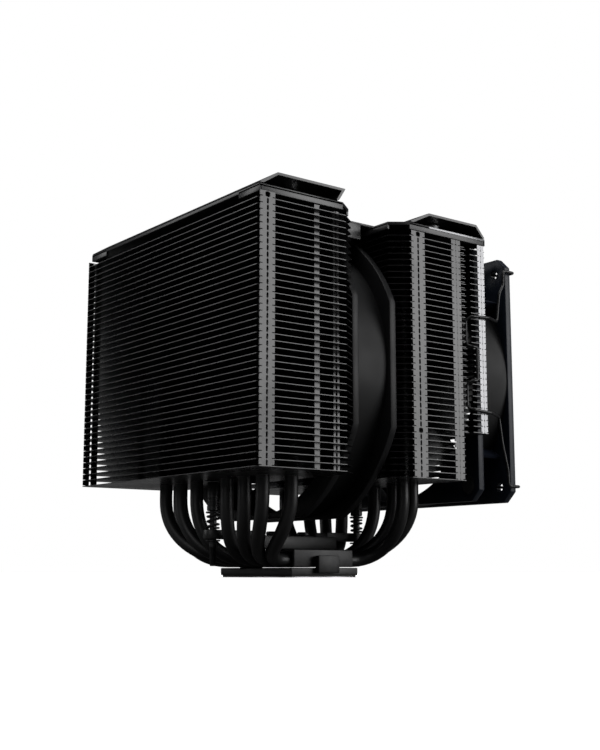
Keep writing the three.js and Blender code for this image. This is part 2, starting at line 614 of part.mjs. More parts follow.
/** Fan frame: two flanges, a barrel, and the motor base on its struts. The fan's axis is Z. */
function fanFrame({ outline, barrel, duct, backHole }) {
  const half = FAN_DEPTH / 2;
  const baseTop = MOTOR_BASE_THICKNESS - half;
  let body = plate(outline, -half, FLANGE_THICKNESS - half);
  body = body.add(plate(outline, half - FLANGE_THICKNESS, half));
  body = body.add(rod(barrel, -half, half, 0, 0, 32));
  body = body.subtract(rod(duct, -half - 1, half + 1, 0, 0, 32));
  let motor = rod(MOTOR_BASE_RADIUS, -half, baseTop, 0, 0, 20);
  motor = motor.add(rod(BOSS_RADIUS, -half, BEARING_TOP, 0, 0, 16));
  for (let i = 0; i < STRUT_COUNT; i += 1) {
    const strut = box(MOTOR_BASE_RADIUS - 2, duct + 1, -STRUT_WIDTH / 2, STRUT_WIDTH / 2, -half, baseTop);
    motor = motor.add(strut.rotate([0, 0, 45 + (360 * i) / STRUT_COUNT]));
  }
  motor = motor.subtract(rod(BEARING_RADIUS + SEAT_GAP, baseTop, BEARING_TOP + 1, 0, 0, 16));
  body = body.add(motor);
  for (const x of [-FAN_HOLE_OFFSET, FAN_HOLE_OFFSET]) {
    for (const y of [-FAN_HOLE_OFFSET, FAN_HOLE_OFFSET]) {
      body = body.subtract(rod(backHole, -half - 1, FLANGE_THICKNESS - half + 0.5, x, y, 12));
      body = body.subtract(rod(FAN_HOLE_RADIUS, half - FLANGE_THICKNESS - 0.5, half + 1, x, y, 8));
    }
  }
  return body;
}

/** One blade: a thin sheet wrapped round the hub, steeper at its root than at its tip. */
function bladeGeometry(tipRadius) {
  const root = HUB_RADIUS - HUB_WALL / 2;
  const length = tipRadius - root;
  const geometry = new THREE.BoxGeometry(length, 1, BLADE_THICKNESS, 3, 2, 1);
  const vertex = new THREE.Vector3();
  const places = geometry.attributes.position;
  for (let i = 0; i < places.count; i += 1) {
    vertex.fromBufferAttribute(places, i);
    const share = vertex.x / length + 0.5;
    const radius = root + length * share;
    const pitch = THREE.MathUtils.degToRad(46 - 18 * share);
    const chord = 22 + 16 * share;
    const camber = 2.2 * (1 - 4 * vertex.y ** 2);
    const angle = (vertex.y * chord * Math.cos(pitch)) / radius;
    const height = vertex.y * chord * Math.sin(pitch) + vertex.z + camber;
    places.setXYZ(i, radius * Math.cos(angle), radius * Math.sin(angle), height);
  }
  return geometry;
}

/** Impeller: a cup-shaped hub with blades and a socket for the shaft. */
function impeller(tipRadius) {
  const roof = HUB_TOP - HUB_WALL;
  const bladeMiddle = (HUB_TOP + HUB_BOTTOM) / 2;
  const blade = solid(bladeGeometry(tipRadius).translate(0, 0, bladeMiddle));
  const bodies = [rod(HUB_RADIUS, HUB_BOTTOM, HUB_TOP, 0, 0, 28)];
  for (let i = 0; i < BLADE_COUNT; i += 1) {
    bodies.push(blade.rotate([0, 0, (360 * i) / BLADE_COUNT]));
  }
  let body = wasm.Manifold.union(bodies);
  body = body.subtract(rod(HUB_RADIUS - HUB_WALL, HUB_BOTTOM - 1, roof, 0, 0, 28));
  const socketRadius = SHAFT_RADIUS + SEAT_GAP;
  body = body.add(rod(socketRadius + HUB_WALL, BEARING_TOP + 1.5, roof + 0.5, 0, 0, 16));
  return body.subtract(rod(socketRadius, BEARING_TOP, roof - SEAT_GAP, 0, 0, 12));
}

/** Stator: a star of wound poles round the bearing boss. */
function statorBody() {
  const inner = BOSS_RADIUS + SEAT_GAP;
  const outer = HUB_RADIUS - HUB_WALL - 2 * SEAT_GAP - MAGNET_RING_WALL - PASS_GAP;
  let body = rod(inner + 2.5, STATOR_BOTTOM, STATOR_TOP, 0, 0, 16);
  for (let i = 0; i < STATOR_POLES; i += 1) {
    let pole = box(inner, outer - 1, -2.4, 2.4, STATOR_BOTTOM, STATOR_TOP);
    pole = pole.add(box(outer - 3, outer - 1.2, -5, 5, STATOR_BOTTOM, STATOR_TOP));
    body = body.add(pole.rotate([0, 0, (360 * i) / STATOR_POLES]));
  }
  return body.subtract(rod(inner, STATOR_BOTTOM - 1, STATOR_TOP + 1, 0, 0, 16));
}

/** One complete fan, with its axis along Y. */
function addFan(name, backY, centerZ, spec) {
  const group = new THREE.Group();
  group.position.set(0, backY + FAN_DEPTH / 2, centerZ);
  group.rotation.x = -Math.PI / 2;
  assembly.add(group);
  const roof = HUB_TOP - HUB_WALL;
  const baseTop = MOTOR_BASE_THICKNESS - FAN_DEPTH / 2;
  addPiece(`${name}_frame`, fanFrame(spec), FAN_PLASTIC, group);
  addPiece(`${name}_impeller`, impeller(spec.duct - BLADE_TIP_GAP), BLADE_PLASTIC, group);
  const shaft = rod(SHAFT_RADIUS, baseTop + 2 * SEAT_GAP, roof - 2 * SEAT_GAP, 0, 0, 12);
  addPiece(`${name}_shaft`, shaft, BRIGHT_STEEL, group);
  const ringOuter = HUB_RADIUS - HUB_WALL - SEAT_GAP;
  const ring = sleeve(ringOuter - MAGNET_RING_WALL, ringOuter, STATOR_BOTTOM, STATOR_TOP, 28);
  addPiece(`${name}_magnet_ring`, ring, MAGNET_GREY, group);
  const bearing = sleeve(SHAFT_RADIUS + SEAT_GAP, BEARING_RADIUS, baseTop + SEAT_GAP, BEARING_TOP, 16);
  addPiece(`${name}_bearing`, bearing, BEARING_BRASS, group);
  addPiece(`${name}_stator`, statorBody(), COPPER_WINDINGS, group);
}

/** Both fans, and the rubber pads in the front fan's back corners. */
function addFans() {
  const centerOutline = cutRoundOutline(CENTER_FLANGE_RADIUS, CENTER_FAN_HALF_WIDTH, CENTER_FAN_HALF_HEIGHT);
  const centerSpec = { outline: centerOutline, barrel: CENTER_BARREL_RADIUS, duct: CENTER_DUCT_RADIUS };
  addFan('center_fan', CENTER_FAN_BACK_Y, CENTER_FAN_Z, { ...centerSpec, backHole: FAN_HOLE_RADIUS });
  const frontOutline = squareOutline(FRONT_FAN_HALF, FRONT_FAN_CHAMFER);
  const frontSpec = { outline: frontOutline, barrel: FRONT_BARREL_RADIUS, duct: FRONT_DUCT_RADIUS };
  addFan('front_fan', FRONT_FAN_BACK_Y, FRONT_FAN_Z, { ...frontSpec, backHole: PAD_RADIUS + SEAT_GAP });
  for (const [hand, x] of [['left', -FAN_HOLE_OFFSET], ['right', FAN_HOLE_OFFSET]]) {
    for (const [height, z] of [['lower', -FAN_HOLE_OFFSET], ['upper', FAN_HOLE_OFFSET]]) {
      const pad = new THREE.CylinderGeometry(PAD_RADIUS, PAD_RADIUS, PAD_THICKNESS, 16);
      pad.translate(x, FRONT_FAN_BACK_Y + PAD_THICKNESS / 2, FRONT_FAN_Z + z);
      addPiece(`${height}_${hand}_fan_pad`, pad, RUBBER);
    }
  }
}

/** Folded bracket over the middle fan, screwed to the rear top plate and resting on the front one. */
function addFanBracket() {
  const low = TOP_PLATE_TOP + SEAT_GAP;
  const high = low + BRACKET_SHEET;
  const [y0, y1] = [REAR_INNER_Y - BRACKET_OVERLAP, FRONT_INNER_Y + BRACKET_OVERLAP];
  const skirt0 = CENTER_FAN_BACK_Y + FLANGE_THICKNESS + PASS_GAP;
  const skirt1 = CENTER_FAN_FRONT_Y - FLANGE_THICKNESS - PASS_GAP;
  const screwY = REAR_INNER_Y - BRACKET_OVERLAP / 2;
  let body = box(-BRACKET_HALF_WIDTH, BRACKET_HALF_WIDTH, y0, y1, low, high);
  for (const side of [-1, 1]) {
    const ends = [(BRACKET_HALF_WIDTH - BRACKET_SHEET) * side, BRACKET_HALF_WIDTH * side];
    const [x0, x1] = ends.sort((a, b) => a - b);
    body = body.add(box(x0, x1, skirt0, skirt1, high - BRACKET_SKIRT, high));
    const hole = BRACKET_SCREW_RADIUS + SEAT_GAP;
    body = body.subtract(rod(hole, low - 1, high + 1, BRACKET_SCREW_X * side, screwY, 10));
  }
  addPiece('center_fan_bracket', body, BLACK_SHEET);
  for (const [hand, side] of [['left', -1], ['right', 1]]) {
    const x = BRACKET_SCREW_X * side;
    const shaft = rod(BRACKET_SCREW_RADIUS, TOP_PLATE_BOTTOM + 1, high + 1, x, screwY, 10);
    const head = rod(BRACKET_SCREW_RADIUS * 2, high + SEAT_GAP, high + 1.8, x, screwY, 12);
    addPiece(`${hand}_bracket_screw`, shaft.add(head), SCREW_STEEL);
  }
}

// ---------------------------------------------------------------- fan clips
/** A spring-wire clip: hooked through the fan's front holes, round its side, into the fin groove. */
function addFanClip(name, side) {
  const clear = CLIP_WIRE_RADIUS + CLIP_STANDOFF;
  const hole = FAN_HOLE_OFFSET;
  const fanSide = FRONT_FAN_HALF + clear;
  const finSide = FRONT_HALF_WIDTH + clear;
  const front = FRONT_FAN_BACK_Y + FAN_DEPTH + clear;
  const stub = front - FLANGE_THICKNESS - 3.5;
  const grooveX = FRONT_HALF_WIDTH - CLIP_GROOVE_DEPTH + clear;
  const grooveY = FRONT_OUTER_Y - CLIP_GROOVE_FROM_FACE - CLIP_GROOVE_WIDTH * 0.6;
  const sideY = FRONT_FAN_BACK_Y + FAN_DEPTH / 2;
  const shoulder = FRONT_OUTER_Y + 0.5;
  const gripY = grooveY + CLIP_GRIP_REACH;
  const route = [
    [hole, stub, hole],
    [hole, front, hole],
    [fanSide, front, hole],
    [fanSide, sideY + 6.3, hole],
    [fanSide, sideY + 6, hole - 7],
    [fanSide, sideY + 3, hole - 12],
    [fanSide, sideY + 0.8, CLIP_HOOK_TOP + 1],
    [finSide, shoulder, CLIP_HOOK_TOP],
    [finSide, grooveY + 1.5, CLIP_HOOK_TOP - 0.7],
    [grooveX, grooveY, CLIP_HOOK_TOP - 2],
    [grooveX, grooveY, CLIP_GRIP_TOP + 1.2],
    [finSide, grooveY + 1.2, CLIP_GRIP_TOP],
    [finSide, gripY, CLIP_GRIP_TOP],
    [finSide, gripY, CLIP_GRIP_BOTTOM],
    [finSide, grooveY + 1.2, CLIP_GRIP_BOTTOM],
    [grooveX, grooveY, CLIP_GRIP_BOTTOM - 1.2],
    [grooveX, grooveY, CLIP_HOOK_BOTTOM + 2],
    [finSide, grooveY + 1.5, CLIP_HOOK_BOTTOM + 0.7],
    [finSide, shoulder, CLIP_HOOK_BOTTOM],
    [fanSide, sideY + 0.6, CLIP_HOOK_BOTTOM],
    [fanSide, sideY + 2.6, -hole + 19.8],
    [fanSide, sideY + 5.9, -hole + 7.4],
    [fanSide, sideY + 6.3, -hole],
    [fanSide, front, -hole],
    [hole, front, -hole],
    [hole, stub, -hole],
  ];
  const placed = route.map(([x, y, z]) => [x * side, y, z + FRONT_FAN_Z]);
  addPiece(name, wire(bentPath(placed, 1.6), CLIP_WIRE_RADIUS, 6), WIRE_STEEL);
}

// ---------------------------------------------------------------- assembly
addColdPlate();
addPipeCap();
addMountingBar();
addMountScrew('rear', -1);
addMountScrew('front', 1);
addHeatPipes();
addFinStacks();
addTops();
addFans();
addFanBracket();
addFanClip('left_fan_clip', -1);
addFanClip('right_fan_clip', 1);

export default assembly;
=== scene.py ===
"""Looks of a twin-tower CPU cooler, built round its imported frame.

Sizes held by the classes are in millimetres. Shapes are finished in metres, in the frame's own place.
X runs across the fins, Y along the fans' axes from the rear tower to the front fan, and Z is up.
"""

import json
import logging
import math
from dataclasses import dataclass, field
from enum import Enum
from typing import Sequence

import bmesh
import bpy
from mathutils import Matrix, Vector

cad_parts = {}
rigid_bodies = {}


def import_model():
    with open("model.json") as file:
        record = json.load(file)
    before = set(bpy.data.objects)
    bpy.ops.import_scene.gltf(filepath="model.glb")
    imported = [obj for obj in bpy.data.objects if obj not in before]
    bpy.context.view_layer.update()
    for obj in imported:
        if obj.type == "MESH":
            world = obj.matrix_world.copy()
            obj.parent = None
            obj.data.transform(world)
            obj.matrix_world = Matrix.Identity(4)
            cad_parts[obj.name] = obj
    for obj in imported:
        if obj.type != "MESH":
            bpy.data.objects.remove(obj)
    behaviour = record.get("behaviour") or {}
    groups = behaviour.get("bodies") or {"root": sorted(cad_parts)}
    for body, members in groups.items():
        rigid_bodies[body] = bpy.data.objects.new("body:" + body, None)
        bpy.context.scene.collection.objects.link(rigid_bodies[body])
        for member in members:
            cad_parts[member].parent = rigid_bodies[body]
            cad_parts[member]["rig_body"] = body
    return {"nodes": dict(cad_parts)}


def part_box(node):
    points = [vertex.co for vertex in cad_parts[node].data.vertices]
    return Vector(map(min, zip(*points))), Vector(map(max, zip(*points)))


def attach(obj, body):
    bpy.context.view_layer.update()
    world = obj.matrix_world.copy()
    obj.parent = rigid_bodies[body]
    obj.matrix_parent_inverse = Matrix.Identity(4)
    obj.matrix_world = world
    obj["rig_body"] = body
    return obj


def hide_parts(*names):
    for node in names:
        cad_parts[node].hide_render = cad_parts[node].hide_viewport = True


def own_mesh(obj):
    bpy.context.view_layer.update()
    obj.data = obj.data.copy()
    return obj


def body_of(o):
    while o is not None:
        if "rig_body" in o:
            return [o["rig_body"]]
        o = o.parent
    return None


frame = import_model()

Point2 = tuple[float, float]
Point3 = tuple[float, float, float]
Colour = tuple[float, float, float]
Hole = tuple[float, float, float, int]

log = logging.getLogger("cooler")

MM = 0.001

# Sizes, in millimetres, that more than one sub-assembly works to.
PIPE_ROW = (12.4, 25.8, 39.3)
PIPE_ROW_Y = 43.0
END_PIPE = (45.0, 32.0)
MOUNT_SCREW_Y = 42.0
FAN_HOLE = 52.5
BRACKET_HOLE_X = 40.0
BRACKET_HOLE_Y = -19.3
BRACKET_HOLE_RADIUS = 1.5
WELD = 1e-4

# Scale of the smudges on every finish, and the colour of dust.
HANDLING_SCALE = 38.0
DUST_COLOUR = (0.32, 0.31, 0.29, 1.0)


class Plane(Enum):
    """The plane a flat outline is drawn in, and the axis it is raised along."""

    FLOOR = Matrix(((1, 0, 0, 0), (0, 1, 0, 0), (0, 0, 1, 0), (0, 0, 0, 1)))
    SIDE = Matrix(((0, 0, 1, 0), (1, 0, 0, 0), (0, 1, 0, 0), (0, 0, 0, 1)))
    FACE = Matrix(((1, 0, 0, 0), (0, 0, 1, 0), (0, 1, 0, 0), (0, 0, 0, 1)))


# ------------------------------------------------------------------ shared shader groups
def _new_group(
    name: str, inputs: Sequence[tuple[str, str, object]], outputs: Sequence[tuple[str, str]]
) -> bpy.types.NodeTree:
    """Starts a shader node group with named sockets.

    Args:
        name: The group's name.
        inputs: Name, socket type and default of each input.
        outputs: Name and socket type of each output.

    Returns:
        The empty group, with its sockets.
    """
    tree = bpy.data.node_groups.new(name, "ShaderNodeTree")
    for label, kind, default in inputs:
        made = tree.interface.new_socket(label, in_out="INPUT", socket_type=kind)
        made.default_value = default
    for label, kind in outputs:
        tree.interface.new_socket(label, in_out="OUTPUT", socket_type=kind)
    return tree


def _math(
    tree: bpy.types.NodeTree, operation: str, a: object, b: object = None, clamp: bool = False
) -> bpy.types.NodeSocket:
    """Adds a Math node.

    Args:
        tree: The tree that holds the node.
        operation: The Math node's operation.
        a: First value, a socket or a number.
        b: Second value, a socket, a number or None.
        clamp: Whether the result stays between 0 and 1.

    Returns:
        The node's output socket.
    """
    node = tree.nodes.new("ShaderNodeMath")
    node.operation = operation
    node.use_clamp = clamp
    for index, value in enumerate((a, b)):
        if value is None:
            continue
        if isinstance(value, (int, float)):
            node.inputs[index].default_value = value
        else:
            tree.links.new(value, node.inputs[index])
    return node.outputs[0]


def _ramp(
    tree: bpy.types.NodeTree, value: bpy.types.NodeSocket, low: float, high: float
) -> bpy.types.NodeSocket:
    """Stretches a value so that low becomes 0 and high becomes 1.

    Args:
        tree: The tree that holds the node.
        value: The value to stretch.
        low: The value that becomes 0.
        high: The value that becomes 1.

    Returns:
        The stretched value's socket.
    """
    node = tree.nodes.new("ShaderNodeMapRange")
    node.interpolation_type = "SMOOTHSTEP"
    node.inputs["From Min"].default_value = low
    node.inputs["From Max"].default_value = high
    tree.links.new(value, node.inputs["Value"])
    return node.outputs["Result"]


def _noise(
    tree: bpy.types.NodeTree, vector: bpy.types.NodeSocket, scale: object, detail: float
) -> bpy.types.NodeSocket:
    """Adds a Noise Texture.

    Args:
        tree: The tree that holds the node.
        vector: The coordinates it reads.
        scale: Its scale, a socket or a number.
        detail: How many layers of finer noise it has.

    Returns:
        The node's value socket.
    """
    node = tree.nodes.new("ShaderNodeTexNoise")
    node.inputs["Detail"].default_value = detail
    tree.links.new(vector, node.inputs["Vector"])
    if isinstance(scale, (int, float)):
        node.inputs["Scale"].default_value = scale
    else:
        tree.links.new(scale, node.inputs["Scale"])
    return node.outputs["Fac"]


def build_grain_group() -> bpy.types.NodeTree:
    """Fine, even grain of a coating or moulding, as a height and a tone.

    Returns:
        The shader group.
    """
    inputs = (
        ("Vector", "NodeSocketVector", (0, 0, 0)),
        ("Scale", "NodeSocketFloat", 900.0),
        ("Patchiness", "NodeSocketFloat", 0.4),
    )
    tree = _new_group("coating_grain", inputs, (("Height", "NodeSocketFloat"), ("Tone", "NodeSocketFloat")))
    start, end = tree.nodes.new("NodeGroupInput"), tree.nodes.new("NodeGroupOutput")
    fine = _noise(tree, start.outputs["Vector"], start.outputs["Scale"], 3.0)
    broad_scale = _math(tree, "MULTIPLY", start.outputs["Scale"], 0.03)
    broad = _noise(tree, start.outputs["Vector"], broad_scale, 2.0)
    patch = _math(tree, "MULTIPLY", broad, start.outputs["Patchiness"])
    tree.links.new(fine, end.inputs["Height"])
    half_fine = _math(tree, "MULTIPLY", fine, 0.5)
    tree.links.new(_math(tree, "ADD", half_fine, patch, clamp=True), end.inputs["Tone"])
    return tree


def build_brush_group() -> bpy.types.NodeTree:
    """Fine parallel tool or drawing marks, stretched along X of the vector it is given.

    Returns:
        The shader group.
    """
    inputs = (("Vector", "NodeSocketVector", (0, 0, 0)), ("Scale", "NodeSocketFloat", 500.0))
    tree = _new_group("drawn_marks", inputs, (("Height", "NodeSocketFloat"), ("Tone", "NodeSocketFloat")))
    start, end = tree.nodes.new("NodeGroupInput"), tree.nodes.new("NodeGroupOutput")
    stretch = tree.nodes.new("ShaderNodeMapping")
    stretch.inputs["Scale"].default_value = (0.03, 1.0, 1.0)
    tree.links.new(start.outputs["Vector"], stretch.inputs["Vector"])
    marks = _noise(tree, stretch.outputs["Vector"], start.outputs["Scale"], 4.0)
    tree.links.new(marks, end.inputs["Height"])
    tree.links.new(_ramp(tree, marks, 0.35, 0.68), end.inputs["Tone"])
    return tree


def build_handling_group() -> bpy.types.NodeTree:
    """Soft smudges and a little dust on faces that look up, as two masks.

    Returns:
        The shader group.
    """
    inputs = (("Vector", "NodeSocketVector", (0, 0, 0)), ("Scale", "NodeSocketFloat", 40.0))
    tree = _new_group("handling_marks", inputs, (("Smudge", "NodeSocketFloat"), ("Dust", "NodeSocketFloat")))
    start, end = tree.nodes.new("NodeGroupInput"), tree.nodes.new("NodeGroupOutput")
    smears = _noise(tree, start.outputs["Vector"], start.outputs["Scale"], 2.5)
    tree.links.new(_ramp(tree, smears, 0.42, 0.66), end.inputs["Smudge"])
    facing = tree.nodes.new("ShaderNodeNewGeometry")
    parts = tree.nodes.new("ShaderNodeSeparateXYZ")
    tree.links.new(facing.outputs["Normal"], parts.inputs["Vector"])
    specks = _ramp(tree, _noise(tree, start.outputs["Vector"], 2600.0, 1.0), 0.62, 0.74)
    upward = _ramp(tree, parts.outputs["Z"], 0.6, 1.0)
    tree.links.new(_math(tree, "MULTIPLY", upward, specks), end.inputs["Dust"])
    return tree


GROUPS: dict[str, bpy.types.NodeTree] = {
    "grain": build_grain_group(),
    "brush": build_brush_group(),
    "handling": build_handling_group(),
}


# ------------------------------------------------------------------ finishes
class Texture(Enum):
    """What the fine surface of a finish looks like."""

    GRAIN = "grain"
    BRUSH = "brush"


@dataclass(frozen=True)
class Finish:
    """One surface finish and the numbers that shape its material."""

    name: str
    colour: Colour
    light: Colour
    roughness: float
    metallic: float = 0.0
    texture: Texture = Texture.GRAIN
    scale: float = 900.0
    relief: float = 0.02
    unevenness: float = 0.06
    smudge: float = 0.08
    dust: float = 0.02
    specular: float = 0.5

    def _group(
        self, tree: bpy.types.NodeTree, key: str, vector: bpy.types.NodeSocket, scale: float
    ) -> bpy.types.Node:
        """Places a shared group and feeds it coordinates and a scale.

        Args:
            tree: The material's tree.
            key: Which shared group.
            vector: The coordinates it reads.
            scale: The scale it is given.

        Returns:
            The group node.
        """
        node = tree.nodes.new("ShaderNodeGroup")
        node.node_tree = GROUPS[key]
        tree.links.new(vector, node.inputs["Vector"])
        node.inputs["Scale"].default_value = scale
        return node

    def material(self) -> bpy.types.Material:
        """Builds the finish's material, or finds the one already built.

        Returns:
            The material.
        """
        if self.name in bpy.data.materials:
            return bpy.data.materials[self.name]
        made = bpy.data.materials.new(self.name)
        made.use_nodes = True
        tree = made.node_tree
        shader = tree.nodes["Principled BSDF"]
        shader.inputs["Metallic"].default_value = self.metallic
        shader.inputs["Specular IOR Level"].default_value = self.specular
        places = tree.nodes.new("ShaderNodeTexCoord").outputs["Object"]
        fine = self._group(tree, self.texture.value, places, self.scale)
        marks = self._group(tree, "handling", places, HANDLING_SCALE)
        tint = tree.nodes.new("ShaderNodeMix")
        tint.data_type = "RGBA"
        tint.inputs["A"].default_value = (*self.colour, 1.0)
        tint.inputs["B"].default_value = (*self.light, 1.0)
        tree.links.new(fine.outputs["Tone"], tint.inputs["Factor"])
        dusted = tree.nodes.new("ShaderNodeMix")
        dusted.data_type = "RGBA"
        dusted.inputs["B"].default_value = DUST_COLOUR
        tree.links.new(_math(tree, "MULTIPLY", marks.outputs["Dust"], self.dust), dusted.inputs["Factor"])
        tree.links.new(tint.outputs["Result"], dusted.inputs["A"])
        tree.links.new(dusted.outputs["Result"], shader.inputs["Base Color"])
        rough = _math(tree, "MULTIPLY_ADD", fine.outputs["Tone"], self.unevenness)
        rough.node.inputs[2].default_value = self.roughness - self.unevenness / 2
        smudged = _math(tree, "MULTIPLY", marks.outputs["Smudge"], self.smudge)
        tree.links.new(_math(tree, "ADD", rough, smudged, clamp=True), shader.inputs["Roughness"])
        bump = tree.nodes.new("ShaderNodeBump")
        bump.inputs["Strength"].default_value = 1.0
        bump.inputs["Distance"].default_value = self.relief * MM
        tree.links.new(fine.outputs["Height"], bump.inputs["Height"])
        tree.links.new(bump.outputs["Normal"], shader.inputs["Normal"])
        return made


FIN_COATING = Finish(
    "fin_coating", (0.003, 0.003, 0.0032), (0.012, 0.012, 0.0125),
    roughness=0.27, metallic=0.25, scale=700, relief=0.01,
)
# Painted sheen: a much lighter copy of the fin coating, for tab columns and plate edges that catch the light.
PAINTED_SHEEN_COATING = Finish(
    "painted_sheen_coating", (0.12, 0.12, 0.124), (0.16, 0.16, 0.165),
    roughness=0.27, metallic=0.75, scale=700, relief=0.01,
)
PIPE_COATING = Finish(
    "pipe_coating", (0.004, 0.004, 0.0042), (0.01, 0.01, 0.0105),
    roughness=0.36, metallic=0.3, scale=500, relief=0.01, smudge=0.1, specular=0.4,
)
SHEET_COATING = Finish(
    "sheet_coating", (0.004, 0.004, 0.0042), (0.014, 0.014, 0.0145),
    roughness=0.34, metallic=0.2, scale=1100, relief=0.015, dust=0.04,
)
BAR_COATING = Finish(
    "bar_coating", (0.004, 0.004, 0.0042), (0.012, 0.012, 0.0125),
    roughness=0.4, metallic=0.2, scale=900, relief=0.015, specular=0.35,
)
PLATED_BLOCK = Finish(
    "plated_block", (0.003, 0.003, 0.0032), (0.01, 0.01, 0.0105),
    roughness=0.42, metallic=0.2, texture=Texture.BRUSH, scale=620, relief=0.006, specular=0.3,
)
MACHINED_FACE = Finish(
    "machined_face", (0.3, 0.3, 0.31), (0.5, 0.5, 0.51),
    roughness=0.16, metallic=1.0, texture=Texture.BRUSH, scale=900, relief=0.004, smudge=0.05,
)
SCREW_PLATING = Finish(
    "screw_plating", (0.006, 0.006, 0.0065), (0.018, 0.018, 0.019),
    roughness=0.32, metallic=0.5, scale=1400, relief=0.006,
)
SPRING_STEEL = Finish(
    "spring_steel", (0.012, 0.012, 0.0125), (0.03, 0.03, 0.031),
    roughness=0.3, metallic=0.7, texture=Texture.BRUSH, scale=900, relief=0.004,
)
CLIP_STEEL = Finish(
    "clip_steel", (0.005, 0.005, 0.0052), (0.014, 0.014, 0.0145),
    roughness=0.3, metallic=0.6, texture=Texture.BRUSH, scale=900, relief=0.003,
)
FRAME_MOULDING = Finish(
    "frame_moulding", (0.003, 0.003, 0.0032), (0.007, 0.007, 0.0075),
    roughness=0.42, metallic=0.0, scale=1500, relief=0.012, specular=0.16,
)
# Painted shade: a darker copy of the frame moulding, for the barrel recessed between the fan's flanges.
SHADED_BARREL_MOULDING = Finish(
    "barrel_moulding_painted_shade", (0.0014, 0.0014, 0.0016), (0.003, 0.003, 0.0034),
    roughness=0.5, metallic=0.0, scale=1500, relief=0.012, specular=0.16,
)
NAVY_MOULDING = Finish(
    "navy_moulding", (0.0026, 0.0036, 0.0062), (0.0055, 0.0085, 0.016),
    roughness=0.42, metallic=0.0, scale=1500, relief=0.012, specular=0.2,
)
BLADE_MOULDING = Finish(
    "blade_moulding", (0.003, 0.003, 0.0034), (0.006, 0.006, 0.007),
    roughness=0.3, metallic=0.0, scale=1500, relief=0.006, specular=0.2,
)
PAD_RUBBER = Finish(
    "pad_rubber", (0.008, 0.008, 0.008), (0.018, 0.018, 0.018),
    roughness=0.78, metallic=0.0, scale=1800, relief=0.05, specular=0.3,
)
SHAFT_STEEL = Finish(
    "shaft_steel", (0.5, 0.5, 0.51), (0.72, 0.72, 0.73),
    roughness=0.18, metallic=1.0, texture=Texture.BRUSH, scale=900, relief=0.004,
)
MAGNET_PLATING = Finish(
    "magnet_plating", (0.2, 0.2, 0.205), (0.36, 0.36, 0.365),
    roughness=0.3, metallic=0.9, scale=1200, relief=0.008,
)
RING_FERRITE = Finish(
    "ring_ferrite", (0.03, 0.03, 0.032), (0.07, 0.068, 0.066),
    roughness=0.62, metallic=0.1, scale=1600, relief=0.05,
)
BEARING_BRONZE = Finish(
    "bearing_bronze", (0.42, 0.28, 0.12), (0.62, 0.45, 0.22),
    roughness=0.34, metallic=1.0, scale=1300, relief=0.015,
)
COIL_COPPER = Finish(
    "coil_copper", (0.34, 0.12, 0.05), (0.62, 0.27, 0.12),
    roughness=0.32, metallic=0.85, texture=Texture.BRUSH, scale=2200, relief=0.1,
)


